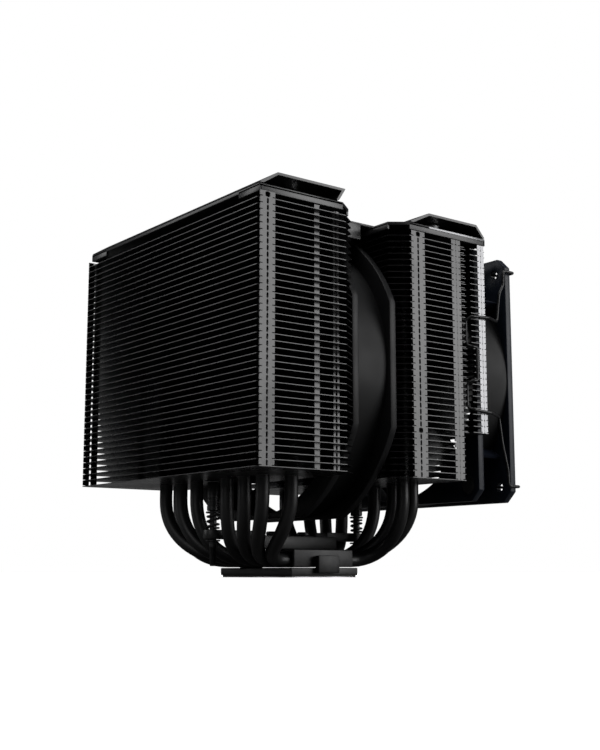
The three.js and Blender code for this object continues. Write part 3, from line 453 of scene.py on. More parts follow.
# ------------------------------------------------------------------ shapes
class Shape:
    """A mesh being built in millimetres, from bmesh operators."""

    def __init__(self) -> None:
        """Starts an empty shape."""
        self.bm = bmesh.new()

    def block(self, low: Point3, high: Point3, bevel: float = 0.0) -> None:
        """Adds a box between two corners.

        Args:
            low: Its lowest corner.
            high: Its highest corner.
            bevel: Width of its rounded edges.
        """
        size = [b - a for a, b in zip(low, high)]
        middle = [(a + b) / 2 for a, b in zip(low, high)]
        matrix = Matrix.Translation(middle) @ Matrix.Diagonal((*size, 1.0))
        self.cuboid(matrix, bevel)

    def cuboid(self, matrix: Matrix, bevel: float = 0.0) -> None:
        """Adds a unit cube that a matrix stretches and places.

        Args:
            matrix: What stretches and places it.
            bevel: Width of its rounded edges.
        """
        verts = bmesh.ops.create_cube(self.bm, size=1.0, matrix=matrix)["verts"]
        if bevel:
            self.round_edges({edge for vert in verts for edge in vert.link_edges}, bevel)

    def round_edges(self, edges: object, width: float, segments: int = 2) -> None:
        """Rounds chosen edges.

        Args:
            edges: The edges to round.
            width: Width of the rounding.
            segments: Steps across it.
        """
        bmesh.ops.bevel(
            self.bm, geom=list(edges), offset=width, segments=segments, profile=0.5,
            affect="EDGES", material=-1, clamp_overlap=True,
        )

    def round_sharp(self, width: float, segments: int = 2, least: float = 30.0) -> None:
        """Rounds every edge sharper than an angle.

        Args:
            width: Width of the rounding.
            segments: Steps across it.
            least: Least angle between faces, in degrees.
        """
        limit = math.radians(least)
        sharp = [edge for edge in self.bm.edges if edge.is_manifold and edge.calc_face_angle(0.0) > limit]
        self.round_edges(sharp, width, segments)

    def _face_out(self, verts: Sequence[bmesh.types.BMVert]) -> None:
        """Points the faces round some vertices outwards."""
        faces = {face for vert in verts for face in vert.link_faces}
        bmesh.ops.recalc_face_normals(self.bm, faces=list(faces))

    def slab(
        self, outline: Sequence[Point2], low: float, high: float, holes: Sequence[Hole] = (),
        plane: Plane = Plane.FLOOR,
    ) -> None:
        """Adds a flat outline with round holes, raised along the plane's axis.

        Args:
            outline: Corners of the outline.
            low: Where it starts along the axis.
            high: Where it ends along the axis.
            holes: Middle, radius and sides of each hole.
            plane: The plane it is drawn in.
        """
        verts = [self.bm.verts.new((x, y, low)) for x, y in outline]
        edges = [self.bm.edges.new((a, b)) for a, b in zip(verts, verts[1:] + verts[:1])]
        for x, y, radius, sides in holes:
            ring = bmesh.ops.create_circle(
                self.bm, cap_ends=False, segments=sides, radius=radius, matrix=Matrix.Translation((x, y, low))
            )["verts"]
            verts += ring
            edges += list({edge for vert in ring for edge in vert.link_edges})
        filled = bmesh.ops.triangle_fill(self.bm, use_beauty=True, use_dissolve=False, edges=edges)
        faces = [item for item in filled["geom"] if isinstance(item, bmesh.types.BMFace)]
        raised = bmesh.ops.extrude_face_region(self.bm, geom=faces)["geom"]
        tops = [item for item in raised if isinstance(item, bmesh.types.BMVert)]
        bmesh.ops.translate(self.bm, vec=(0, 0, high - low), verts=tops)
        both = verts + tops
        self._face_out(both)
        if plane is not Plane.FLOOR:
            bmesh.ops.transform(self.bm, matrix=plane.value, verts=both)
            self._face_out(both)

    def lathe(
        self, profile: Sequence[Point2], centre: Point3 = (0, 0, 0), segments: int = 48, along_y: bool = False
    ) -> None:
        """Adds a closed profile turned round an axis.

        Args:
            profile: Radius and height of each corner, going round the section.
            centre: Where the axis and height zero are.
            segments: Steps round the axis.
            along_y: Whether the axis is Y instead of Z.
        """
        verts = [self.bm.verts.new((radius, 0, height)) for radius, height in profile]
        edges = [self.bm.edges.new((a, b)) for a, b in zip(verts, verts[1:] + verts[:1])]
        before = set(self.bm.verts) - set(verts)
        bmesh.ops.spin(
            self.bm, geom=verts + edges, cent=(0, 0, 0), axis=(0, 0, 1), dvec=(0, 0, 0),
            angle=2 * math.pi, steps=segments, use_merge=True, use_duplicate=False,
        )
        made = [vert for vert in self.bm.verts if vert not in before]
        bmesh.ops.remove_doubles(self.bm, verts=made, dist=WELD)
        axis = [edge for edge in self.bm.edges if not edge.link_faces]
        bmesh.ops.delete(self.bm, geom=axis, context="EDGES")
        made = [vert for vert in self.bm.verts if vert not in before]
        turn = Matrix.Rotation(-math.pi / 2, 4, "X") if along_y else Matrix.Identity(4)
        bmesh.ops.transform(self.bm, matrix=Matrix.Translation(centre) @ turn, verts=made)
        self._face_out(made)

    def repeat(self, count: int, step: Point3) -> None:
        """Repeats the whole shape along a step.

        Args:
            count: How many there are in all.
            step: From each one to the next.
        """
        first = list(self.bm.verts) + list(self.bm.edges) + list(self.bm.faces)
        for index in range(1, count):
            copy = bmesh.ops.duplicate(self.bm, geom=first)["geom"]
            verts = [item for item in copy if isinstance(item, bmesh.types.BMVert)]
            bmesh.ops.translate(self.bm, vec=Vector(step) * index, verts=verts)

    def absorb(self, mesh: bpy.types.Mesh) -> None:
        """Adds a mesh that is in millimetres, such as a bent wire."""
        self.bm.from_mesh(mesh)

    def piece(
        self, name: str, finish: Finish, nodes: Sequence[str], smooth: float = 35.0
    ) -> bpy.types.Object:
        """Finishes the shape as a piece that stands for CAD nodes.

        Args:
            name: The piece's name.
            finish: Its finish.
            nodes: The CAD nodes it stands for.
            smooth: Edges flatter than this many degrees are shaded smooth.

        Returns:
            The finished object.
        """
        bmesh.ops.scale(self.bm, vec=(MM, MM, MM), verts=self.bm.verts)
        mesh = bpy.data.meshes.new(name)
        self.bm.to_mesh(mesh)
        self.bm.free()
        for face in mesh.polygons:
            face.use_smooth = True
        mesh.set_sharp_from_angle(angle=math.radians(smooth))
        mesh.materials.append(finish.material())
        made = bpy.data.objects.new(name, mesh)
        bpy.context.scene.collection.objects.link(made)
        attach(made, body_of(frame["nodes"][nodes[0]])[0])
        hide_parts(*nodes)
        mesh.calc_loop_triangles()
        log.info("%s: %d triangles", name, len(mesh.loop_triangles))
        return made


def bent_wire(
    points: Sequence[Point3], radius: float, sides: int = 12, tips: Sequence[float] | None = None
) -> bpy.types.Mesh:
    """A round wire or pipe along a list of points.

    Args:
        points: Its middle line.
        radius: Its radius.
        sides: A quarter of its sides is the curve's bevel resolution.
        tips: Share of the radius at each point, where it narrows.

    Returns:
        A closed mesh in the points' own unit.
    """
    line = bpy.data.curves.new("wire_line", "CURVE")
    line.dimensions = "3D"
    line.twist_mode = "MINIMUM"
    line.bevel_depth = radius
    line.bevel_resolution = max(0, sides // 4 - 1)
    line.use_fill_caps = True
    spline = line.splines.new("POLY")
    spline.points.add(len(points) - 1)
    for index, place in enumerate(points):
        spline.points[index].co = (*place, 1.0)
        spline.points[index].radius = 1.0 if tips is None else tips[index]
    holder = bpy.data.objects.new("wire_holder", line)
    bpy.context.scene.collection.objects.link(holder)
    bpy.context.view_layer.update()
    mesh = bpy.data.meshes.new_from_object(holder.evaluated_get(bpy.context.evaluated_depsgraph_get()))
    bpy.data.objects.remove(holder)
    bpy.data.curves.remove(line)
    clean = bmesh.new()
    clean.from_mesh(mesh)
    bmesh.ops.remove_doubles(clean, verts=clean.verts, dist=WELD)
    bmesh.ops.recalc_face_normals(clean, faces=clean.faces)
    clean.to_mesh(mesh)
    clean.free()
    return mesh


def rounded_route(corners: Sequence[Point3], bend: float, steps: int = 6) -> list[Point3]:
    """Rounds the corners of a route.

    Args:
        corners: The route's corner points.
        bend: How far before and after a corner its bend reaches.
        steps: Points in each bend.

    Returns:
        The rounded route's points.
    """
    points = [Vector(corner) for corner in corners]
    route = [points[0]]
    for before, corner, after in zip(points, points[1:], points[2:]):
        back, on = before - corner, after - corner
        reach = min(bend, back.length * 0.45, on.length * 0.45)
        first, last = corner + back.normalized() * reach, corner + on.normalized() * reach
        for index in range(steps + 1):
            t = index / steps
            route.append(first * (1 - t) ** 2 + corner * 2 * t * (1 - t) + last * t**2)
    route.append(points[-1])
    return [tuple(point) for point in route]


def arc(centre: Point2, radius: float, start: float, end: float, steps: int) -> list[Point2]:
    """Points along an arc, angles in degrees.

    Args:
        centre: The arc's centre.
        radius: Its radius.
        start: First angle.
        end: Last angle.
        steps: Steps between them.

    Returns:
        The arc's points, both ends included.
    """
    turns = [math.radians(start + (end - start) * index / steps) for index in range(steps + 1)]
    return [(centre[0] + radius * math.cos(turn), centre[1] + radius * math.sin(turn)) for turn in turns]


def box_mm(node: str) -> tuple[Vector, Vector]:
    """Lowest and highest corners of a CAD node, in millimetres."""
    low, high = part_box(node)
    return Vector(low) / MM, Vector(high) / MM


# ------------------------------------------------------------------ fin towers
class TabForm(Enum):
    """How a column's inner edge is cut at each fin: pinched like an hourglass, or with a small vee."""

    HOURGLASS = "hourglass"
    VEE = "vee"


@dataclass
class TabStrip:
    """A column of folded tabs up a tower's side: its start along Y, its width and how far in it stands."""

    start: float
    width: float
    inset: float = -0.03
    form: TabForm = TabForm.HOURGLASS
    flipped: bool = False
    waist: float = 0.35
    tick: float = 1.3

    def corners(self, pitch: float, waist: float) -> list[Point2]:
        """Corners of one tab, from its column's start and its fin's bottom.

        Args:
            pitch: Height from one fin to the next.
            waist: How far the inner edge is cut back.

        Returns:
            The tab's corners.
        """
        width, tick = self.width, min(self.tick, self.width * 0.45)
        neck = width - waist
        points = [(0.0, 0.0)]
        if self.form is TabForm.HOURGLASS:
            points += [(width, 0.0), (width, 0.3), (neck, 0.6), (neck, pitch - 0.5)]
            points += [(width, pitch - 0.2), (width, pitch)]
        else:
            points += [(neck, 0.0), (width, 0.9), (width, pitch)]
        points += [(0.0, pitch), (0.0, 0.7), (tick, 0.7), (tick, 0.3), (0.0, 0.3)]
        return [(width - y, z) for y, z in reversed(points)] if self.flipped else points


def paired(
    start: float, width: float, form: TabForm = TabForm.HOURGLASS, gap: float = 0.3, inset: float = -0.03
) -> list[TabStrip]:
    """Two facing columns with a narrow gap between them.

    Args:
        start: Where the pair starts along Y.
        width: Width over both columns.
        form: How their facing edges are cut.
        gap: Least gap between them.
        inset: How far in they stand.

    Returns:
        Both columns.
    """
    each = (width - gap) / 2
    return [TabStrip(start, each, inset, form), TabStrip(start + each + gap, each, inset, form, True)]


@dataclass
class FinTower:
    """One stack of fins, with its folded side tabs, pipe collars and clip groove."""

    node: str
    name: str
    half: float
    outer: float
    inner: float
    bottom: float
    count: int
    strips: list[TabStrip]
    lit: list[TabStrip] = field(default_factory=list)
    groove: bool = False
    pitch: float = 2.8
    sheet: float = 0.27
    funnel: float = 1.1
    cut_x: float = 6.0
    cut_y: float = 8.0
    small_cut: Point2 = (1.45, 0.6)
    pipe_hole: float = 3.12
    collar_wall: float = 0.3
    collar_gap: float = 0.5
    tab_sheet: float = 0.5
    driver_hole: float = 4.2
    groove_at: float = 10.4
    groove_width: float = 3.8
    groove_depth: float = 2.7

    def columns(self) -> list[Point2]:
        """Finds where this tower's eight pipes stand.

        Returns:
            The middle of each pipe.
        """
        side = math.copysign(1.0, self.outer)
        row = [(x, PIPE_ROW_Y) for x in PIPE_ROW] + [END_PIPE]
        return [(sign * x, y * side) for x, y in row for sign in (-1, 1)]

    def outline(self) -> list[Point2]:
        """Draws one fin, from its outer edge along one side to the other.

        Returns:
            The fin's corners.
        """
        inwards = math.copysign(1.0, self.inner - self.outer)
        cut_x, cut_y = self.small_cut
        right = [(self.half - cut_x, self.outer), (self.half, self.outer + cut_y * inwards)]
        if self.groove:
            wall = self.outer + self.groove_at * inwards
            floor = self.half - self.groove_depth
            far = wall + self.groove_width * inwards
            right += [(self.half, wall), (floor, wall), (floor, far), (self.half, far)]
        right += [(self.half, self.inner - self.cut_y * inwards), (self.half - self.cut_x, self.inner)]
        return right + [(-x, y) for x, y in reversed(right)]

    def _tabs(self, shape: Shape, strip: TabStrip, z: float, waist: float) -> None:
        """Adds one fin's folded tab on both sides: a sheet that narrows where the next fin's tab hooks in.

        Args:
            shape: The shape that takes them.
            strip: The column they belong to.
            z: Bottom of the fin.
            waist: How far the tab's inner edge is cut back.
        """
        outline = [(strip.start + y, z + up) for y, up in strip.corners(self.pitch, waist)]
        for side in (-1, 1):
            outside = self.half - strip.inset
            low, high = sorted(((outside - self.tab_sheet) * side, outside * side))
            shape.slab(outline, low, high, plane=Plane.SIDE)

    def build(self) -> bpy.types.Object:
        """Builds one fin with its tabs and collars, repeats it, and opens the top tabs to a funnel.

        Returns:
            The tower's fins as one piece.
        """
        shape = Shape()
        self._fin(shape, 0.0)
        shape.repeat(self.count - 1, (0, 0, self.pitch))
        self._fin(shape, self.pitch * (self.count - 1), self.funnel)
        if self.lit:
            self._lit_tabs()
        return shape.piece(self.name, FIN_COATING, [self.node], 20)

    def _lit_tabs(self) -> None:
        """Builds the columns that catch the light as a piece of their own, in a brighter coating that paints
        their sheen.
        """
        shape = Shape()
        for strip in self.lit:
            self._tabs(shape, strip, self.bottom, strip.waist)
        shape.repeat(self.count, (0, 0, self.pitch))
        shape.piece(f"{self.name}_painted_sheen_tabs", PAINTED_SHEEN_COATING, [self.node], 20)

    def _fin(self, shape: Shape, rise: float, waist: float | None = None) -> None:
        """Adds one fin with its collars and tabs.

        Args:
            shape: The shape that takes it.
            rise: Its height over the tower's first fin.
            waist: How far its tabs' inner edges are cut back, where that differs.
        """
        z = self.bottom + rise
        holes = [(x, y, self.pipe_hole + self.collar_wall, 20) for x, y in self.columns()]
        driver = math.copysign(MOUNT_SCREW_Y, self.outer)
        holes.append((0.0, driver, self.driver_hole, 20))
        shape.slab(self.outline(), z, z + self.sheet, holes)
        inside, outside = self.pipe_hole, self.pipe_hole + self.collar_wall
        height = self.pitch - self.collar_gap
        for x, y in self.columns():
            shape.lathe([(inside, 0.0), (outside, 0.0), (outside, height), (inside, height)], (x, y, z), 16)
        for strip in self.strips:
            cut = strip.waist if waist is None or strip.inset > 0 else waist
            self._tabs(shape, strip, z, cut)


def build_towers() -> None:
    """Builds the rear tower and the front tower's short and full fins, each in its CAD node's box."""
    vee, vee_gap = TabForm.VEE, 0.12
    low, high = box_mm("rear_fin_stack")
    narrow = TabStrip(low.y + 30.1, 3.0, 2.4)
    rear = [*paired(low.y + 0.6, 7.4), narrow, *paired(high.y - 11.1, 3.2, inset=5.0)]
    FinTower("rear_fin_stack", "rear_fin_tower", high.x, low.y, high.y, low.z, 40, rear).build()
    low, high = box_mm("front_lower_fin_stack")
    lower = paired(low.y + 9.0, 8.1) + paired(low.y + 34.1, 5.7, vee, vee_gap)
    place = (high.x, high.y, low.y, low.z)
    FinTower("front_lower_fin_stack", "front_short_fins", *place, 8, lower, small_cut=(0.6, 0.6)).build()
    low, high = box_mm("front_upper_fin_stack")
    upper = [*lower, TabStrip(low.y + 17.5, 2.5, 4.0)]
    # These two columns catch the light, so they get the brighter coating as painted sheen.
    lit = paired(high.y - 5.3, 4.2, vee, vee_gap)
    place = (high.x, high.y, low.y, low.z)
    FinTower("front_upper_fin_stack", "front_full_fins", *place, 32, upper, lit, groove=True).build()


# ------------------------------------------------------------------ pipes
@dataclass
class HeatPipes:
    """Eight U-shaped pipes, each from one tower's top through the base to the other's."""

    radius: float = 3.0
    pitch: float = 6.3
    base_z: float = 7.6
    bend_top: float = 36.0
    drop: float = 20.0
    run: float = 16.0
    base_end: float = 19.0
    top: float = 153.2
    steps: int = 22
    straight: float = 60.0
    tips: tuple[Point2, ...] = ((0.28, 0.0), (0.62, 0.35), (0.85, 1.0), (0.97, 1.9), (1.0, 3.0))

    def _bend(self, column: Point2, base_x: float, side: int) -> list[Vector]:
        """The smooth bend from a column down to the base.

        Args:
            column: X and Y of the upright part.
            base_x: X where the pipe crosses the base.
            side: -1 for the rear tower and 1 for the front one.

        Returns:
            The bend's points, from the top down.
        """
        x, y = column
        above_base = self.base_end + self.run
        ends = [
            Vector((x, y * side, self.bend_top)), Vector((x, y * side, self.bend_top - self.drop)),
            Vector((base_x, above_base * side, self.base_z)),
            Vector((base_x, self.base_end * side, self.base_z)),
        ]
        points = []
        for index in range(self.steps + 1):
            t = index / self.steps
            weights = ((1 - t) ** 3, 3 * t * (1 - t) ** 2, 3 * t * t * (1 - t), t**3)
            points.append(sum((place * weight for place, weight in zip(ends, weights)), Vector()))
        return points

    def _pipe(self, x: float, y: float, base_x: float, number: int) -> None:
        """Builds one pipe with its drawn-in round tips.

        Args:
            x: X of its upright parts.
            y: Distance of its upright parts from the middle.
            base_x: X where it crosses the base.
            number: Its number, counted along X.
        """
        drawn = [(share, self.top - drop) for share, drop in self.tips]
        middle = self._bend((x, y), base_x, -1) + self._bend((x, y), base_x, 1)[::-1]
        route = [Vector((x, -y, z)) for _, z in drawn] + [Vector((x, -y, self.straight))]
        route += middle + [Vector((x, y, self.straight))]
        route += [Vector((x, y, z)) for _, z in reversed(drawn)]
        narrow = [share for share, _ in drawn]
        widths = narrow + [1.0] * (len(middle) + 2) + narrow[::-1]
        shape = Shape()
        shape.absorb(bent_wire([tuple(place) for place in route], self.radius, 24, widths))
        shape.piece(f"heat_pipe_tube_{number}", PIPE_COATING, [f"heat_pipe_{number}"], 50)

    def build(self) -> None:
        """Builds every pipe, from the middle outwards."""
        columns = [(x, PIPE_ROW_Y) for x in PIPE_ROW] + [END_PIPE]
        for index, (x, y) in enumerate(columns):
            for sign, number in ((-1, 4 - index), (1, 5 + index)):
                self._pipe(sign * x, y, sign * self.pitch * (index + 0.5), number)


# ------------------------------------------------------------------ base and mounting
@dataclass
class Base:
    """The cold plate, the bridge over the pipes and the spring bar."""

    half_x: float = 28.0
    half_y: float = 19.0
    face_top: float = 0.24
    step_low: float = 0.25
    step: float = 0.9
    step_inset: float = 0.7
    slab_top: float = 4.3
    cap_low: float = 4.6
    cap_top: float = 12.4
    cap_inset: Point2 = (1.0, 2.0)
    cap_wall: float = 1.6
    cap_roof: float = 1.5
    bar_half: Point2 = (7.0, 24.0)
    bar_gap: float = 0.3
    bar_top: float = 19.0
    arm_start: float = 20.0
    ear: tuple[float, float] = (17.0, 21.0)
    ear_half: float = 4.5
    ear_hole: float = 2.1
    bolt_y: float = 9.0
    bolt_depth: float = 1.5

    def cold_plate(self) -> None:
        """The slab, with a small step under it and its machined contact face."""
        x, y, inset = self.half_x, self.half_y, self.step_inset
        body = Shape()
        body.block((-x, -y, self.step), (x, y, self.slab_top))
        body.round_sharp(0.35, 3)
        body.block((-x + inset, -y + inset, self.step_low), (x - inset, y - inset, self.step + 0.4))
        body.piece("cold_plate_slab", PLATED_BLOCK, ["cold_plate"], 40)
        face = Shape()
        face.block((-x + inset, -y + inset, 0.0), (x - inset, y - inset, self.face_top))
        face.round_sharp(0.08, 2)
        face.piece("cold_plate_contact_face", MACHINED_FACE, ["cold_plate"], 40)

    def pipe_cap(self) -> None:
        """The bridge over the pipes, with rounded edges and a hooked lug on each side."""
        half, end = self.half_x - self.cap_inset[0], self.half_y - self.cap_inset[1]
        low, top = self.cap_low, self.cap_top
        hollow, roof = half - self.cap_wall, top - self.cap_roof
        outline = [(-half, low), (-half, top), (half, top), (half, low)]
        outline += [(hollow, low), (hollow, roof), (-hollow, roof), (-hollow, low)]
        shape = Shape()
        shape.slab(outline, -end, end, plane=Plane.FACE)
        shape.round_sharp(0.5, 3, 60)
        hook = (self.half_x + 0.3, self.half_x + 3, 6, 1.9, 9.7, 0.5)
        neck = (half - 0.4, self.half_x + 2.4, 5.7, 5.4, 9.4, 0.3)
        for side in (-1, 1):
            for near, far, lug_half, floor, ceiling, bevel in (hook, neck):
                left, right = sorted((side * near, side * far))
                shape.block((left, -lug_half, floor), (right, lug_half, ceiling), bevel)
        shape.piece("pipe_bridge", PLATED_BLOCK, ["pipe_cap"], 40)

    def bar(self) -> None:
        """The spring bar: a thick middle, and round-ended arms out to the screws."""
        x, y = self.bar_half
        shape = Shape()
        shape.block((-x, -y, self.cap_top + self.bar_gap), (x, y, self.bar_top), 0.7)
        for side in (-1, 1):
            start = 180 if side < 0 else 0
            rounded = arc((0, MOUNT_SCREW_Y * side), self.ear_half, start, start + 180, 18)
            root = [(self.ear_half, self.arm_start * side), (-self.ear_half, self.arm_start * side)]
            outline = rounded + (root if side < 0 else root[::-1])
            shape.slab(outline, *self.ear, holes=[(0, MOUNT_SCREW_Y * side, self.ear_hole, 24)])
        shape.round_sharp(0.35, 2, 60)
        shape.piece("spring_bar", BAR_COATING, ["mounting_bar"], 40)

    def bolts(self) -> None:
        """The two screws that hold the bar to the bridge."""
        low, top = self.cap_top - self.bolt_depth, self.bar_top
        profile = [(0, low), (1.5, low), (1.5, top + 0.3), (2.7, top + 0.3), (3.0, top + 0.6)]
        profile += [(3.0, top + 1.5), (2.5, top + 2.0), (0, top + 2.0)]
        for end, side in (("rear", -1), ("front", 1)):
            screw = Shape()
            screw.lathe(profile, (0, self.bolt_y * side, 0), 32)
            screw.piece(f"{end}_bar_bolt", SCREW_PLATING, [f"{end}_bar_screw"])

    def build(self) -> None:
        """Builds the base's pieces."""
        self.cold_plate()
        self.pipe_cap()
        self.bar()
        self.bolts()


@dataclass
class SpringScrew:
    """One mount screw with its spring, collar and retaining ring."""

    end: str
    side: int
    shaft: float = 1.6
    tip: float = 5.0
    head_low: float = 29.5
    head_top: float = 42.4
    head: float = 2.85
    socket: float = 1.75
    socket_depth: float = 3.0
    band_groove: float = 0.22
    thread_root: float = 1.35
    thread_pitch: float = 0.5
    thread_top: float = 13.0
    collar_low: float = 28.4
    ring_low: float = 15.9
    spring_low: float = 21.3
    spring_rise: float = 6.8
    spring_radius: float = 2.6
    wire: float = 0.45
    turns: float = 3.25
    steps: int = 110

    @property
    def y(self) -> float:
        """The screw's place along Y."""
        return MOUNT_SCREW_Y * self.side

    def screw(self) -> None:
        """The long screw: a threaded tip, a plain neck and a tall socket head with a grip band."""
        root, head, low, top = self.thread_root, self.head, self.head_low, self.head_top
        profile = [(0, self.tip), (1.1, self.tip), (root, self.tip + 0.6)]
        z = self.tip + 0.8
        while z < self.thread_top:
            profile += [(root, z), (self.shaft, z + 0.22), (root, z + 0.44)]
            z += self.thread_pitch
        profile += [(self.shaft, self.thread_top + 0.3), (self.shaft, low)]
        profile += [(head - 0.3, low), (head, low + 0.3)]
        for band in range(4):
            z = low + 2.2 + 1.0 * band
            groove = head - self.band_groove
            profile += [(head, z), (groove, z + 0.15), (groove, z + 0.45), (head, z + 0.6)]
        profile += [(head, top - 0.5), (head - 0.4, top)]
        profile += [(self.socket, top), (self.socket, top - self.socket_depth), (0, top - 3.2)]
        shape = Shape()
        shape.lathe(profile, (0, self.y, 0), 36)
        shape.slab(arc((0, self.y), 1.8, 0, 345, 23), top - 2.9, top - 0.3, [(0, self.y, 1.5, 6)])
        shape.piece(f"{self.end}_screw_stud", SCREW_PLATING, [f"{self.end}_mount_screw"], 40)

    def rings(self) -> None:
        """The collar over the spring and the ring that keeps the screw in its ear."""
        collar = ("collar_washer", "spring_collar", self.collar_low, 0.0)
        for name, node, low, slim in (collar, ("snap_ring", "retaining_ring", self.ring_low, 0.1)):
            profile = [(1.9, low), (3.1, low), (3.3, low + 0.15), (3.3, low + 0.65 - slim)]
            profile += [(3.1, low + 0.8 - slim), (1.9, low + 0.8 - slim)]
            shape = Shape()
            shape.lathe(profile, (0, self.y, 0), 36)
            shape.piece(f"{self.end}_{name}", SCREW_PLATING, [f"{self.end}_{node}"])

    def spring(self) -> None:
        """The spring, with its end coils closed up."""
        low, rise, reach = self.spring_low + self.wire, self.spring_rise - 2 * self.wire, self.spring_radius
        points = []
        for index in range(self.steps + 1):
            t = index / self.steps
            turn = 2 * math.pi * self.turns * t
            height = low + rise * (t - 0.07 * math.sin(2 * math.pi * t))
            points.append((reach * math.cos(turn), self.y + reach * math.sin(turn), height))
        shape = Shape()
        shape.absorb(bent_wire(points, self.wire, 12))
        made = shape.piece(f"{self.end}_spring_coil", SPRING_STEEL, [f"{self.end}_spring"], 60)
        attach(made, "cooler")
        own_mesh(made)

    def build(self) -> None:
        """Builds the screw's pieces."""
        self.screw()
        self.rings()
        self.spring()


# ------------------------------------------------------------------ tops
@dataclass
class Top:
    """One tower's top plate with its folded skirts, its bent cover and the magnets between them."""

    end: str
    half: float
    outer: float
    inner: float
    low: float
    high: float
    hole_y: float
    fold: tuple[float, float, float, float]
    cover_low: float
    cover_high: float
    bracket_holes: bool
    sheet: float = 1.5
    skirt_sheet: float = 1.2
    skirt_end: float = 15.0
    inner_cut: Point2 = (6.0, 8.0)
    access_hole: float = 7.0
    cover_sheet: float = 1.1
    magnet_x: float = 56.0

    @classmethod
    def over(cls, end: str, ridge: tuple[float, float]) -> "Top":
        """A top fitted to its CAD nodes' boxes.

        Args:
            end: "rear" or "front".
            ridge: Distances of the cover's two folds from its feet, lower Y first.

        Returns:
            The top, not built yet.
        """
        low, high = box_mm(f"{end}_top_plate")
        foot, crown = box_mm(f"{end}_top_cover")
        screw_low, screw_high = box_mm(f"{end}_mount_screw")
        rear = end == "rear"
        outer, inner = (low.y, high.y) if rear else (high.y, low.y)
        last = crown.y - (ridge[1] if rear else 0.0)
        fold = (foot.y, foot.y + ridge[0], crown.y - (0.0 if rear else ridge[1]), last)
        hole_y = (screw_low.y + screw_high.y) / 2
        return cls(end, high.x, outer, inner, low.z, high.z, hole_y, fold, foot.z, crown.z, rear)

    def plate(self) -> None:
        """The plate: a folded sheet whose outer skirt is deep at both ends and thin between."""
        half, outer, inner, thick = self.half, self.outer, self.inner, self.skirt_sheet
        inwards = math.copysign(1.0, inner - outer)
        cut, narrow = inner - self.inner_cut[1] * inwards, half - self.inner_cut[0]
        right = [(half, outer), (half, cut), (narrow, inner)]
        outline = [(-half, outer), *right, (-narrow, inner), (-half, cut)]
        holes = [(0.0, self.hole_y, self.access_hole, 32)]
        if self.bracket_holes:
            holes += [(x, inner - 2.5, BRACKET_HOLE_RADIUS, 20) for x in (-BRACKET_HOLE_X, BRACKET_HOLE_X)]
        shape = Shape()
        shape.slab(outline, self.high - self.sheet, self.high, holes)
        shape.round_sharp(0.25, 2, 60)
        roof = self.high - 0.4
        skirt = sorted((outer, outer + thick * inwards))
        run = sorted((outer + 0.3 * inwards, cut))
        for sign in (-1, 1):
            ends = sorted((sign * (half - self.skirt_end), sign * half))
            shape.block((ends[0], skirt[0], self.low), (ends[1], skirt[1], roof), 0.2)
            sides = sorted((sign * (half - thick), sign * half))
            shape.block((sides[0], run[0], self.low), (sides[1], run[1], roof), 0.2)
        run = sorted((inner, inner - thick * inwards))
        shape.block((-narrow, run[0], self.low), (narrow, run[1], roof), 0.2)
        shape.piece(f"{self.end}_top_sheet", SHEET_COATING, [f"{self.end}_top_plate"], 40)

    def lips(self) -> None:
        """The edge along both sides of the plate, from the cover's first fold to the outer face, in a
        brighter coating that paints the highlight it catches.
        """
        start, end = sorted((self.fold[1], self.outer))
        shape = Shape()
        for sign in (-1, 1):
            low, high = sorted((sign * (self.half - 0.15), sign * (self.half + 0.05)))
            shape.block((low, start, self.high - 1.1), (high, end - 0.3, self.high - 0.2), 0.04)
        shape.piece(f"{self.end}_painted_sheen_lips", PAINTED_SHEEN_COATING, [f"{self.end}_top_plate"], 40)

    def cover(self) -> None:
        """The bent cover over its two folds, with rounded bends."""
        foot_a, ridge_a, ridge_b, foot_b = self.fold
        low, high, sheet = self.cover_low, self.cover_high, self.cover_sheet
        rise = high - low
        inner_a = foot_a + sheet * math.hypot(ridge_a - foot_a, rise) / rise
        inner_b = foot_b - sheet * math.hypot(foot_b - ridge_b, rise) / rise
        share, under = 1 - sheet / rise, high - sheet
        outline = [(foot_a, low), (ridge_a, high), (ridge_b, high), (foot_b, low), (inner_b, low)]
        outline += [(inner_b + (ridge_b - foot_b) * share, under)]
        outline += [(inner_a + (ridge_a - foot_a) * share, under), (inner_a, low)]
        shape = Shape()
        shape.slab(outline, -self.half, self.half, plane=Plane.SIDE)
        long = [
            edge for edge in shape.bm.edges
            if abs(edge.verts[0].co.x - edge.verts[1].co.x) > self.half
            and edge.is_manifold and edge.calc_face_angle(0) > 0.3
        ]
        shape.round_edges(long, 0.45, 3)
        shape.piece(f"{self.end}_cover_sheet", SHEET_COATING, [f"{self.end}_top_cover"], 30)

    def magnets(self) -> None:
        """The two round magnets that hold the cover."""
        low, top = self.cover_low, self.cover_high - self.cover_sheet - 0.3
        profile = [(0, low), (3.7, low), (4, low + 0.3), (4, top - 0.3), (3.7, top), (0, top)]
        for hand, x in (("left", -self.magnet_x), ("right", self.magnet_x)):
            shape = Shape()
            shape.lathe(profile, (x, self.hole_y, 0), 36)
            name, node = f"{self.end}_{hand}_magnet_disc", f"{self.end}_{hand}_cover_magnet"
            shape.piece(name, MAGNET_PLATING, [node])

    def build(self) -> None:
        """Builds the plate, cover and magnets."""
        self.plate()
        if self.end == "front":
            self.lips()
        self.cover()
        self.magnets()


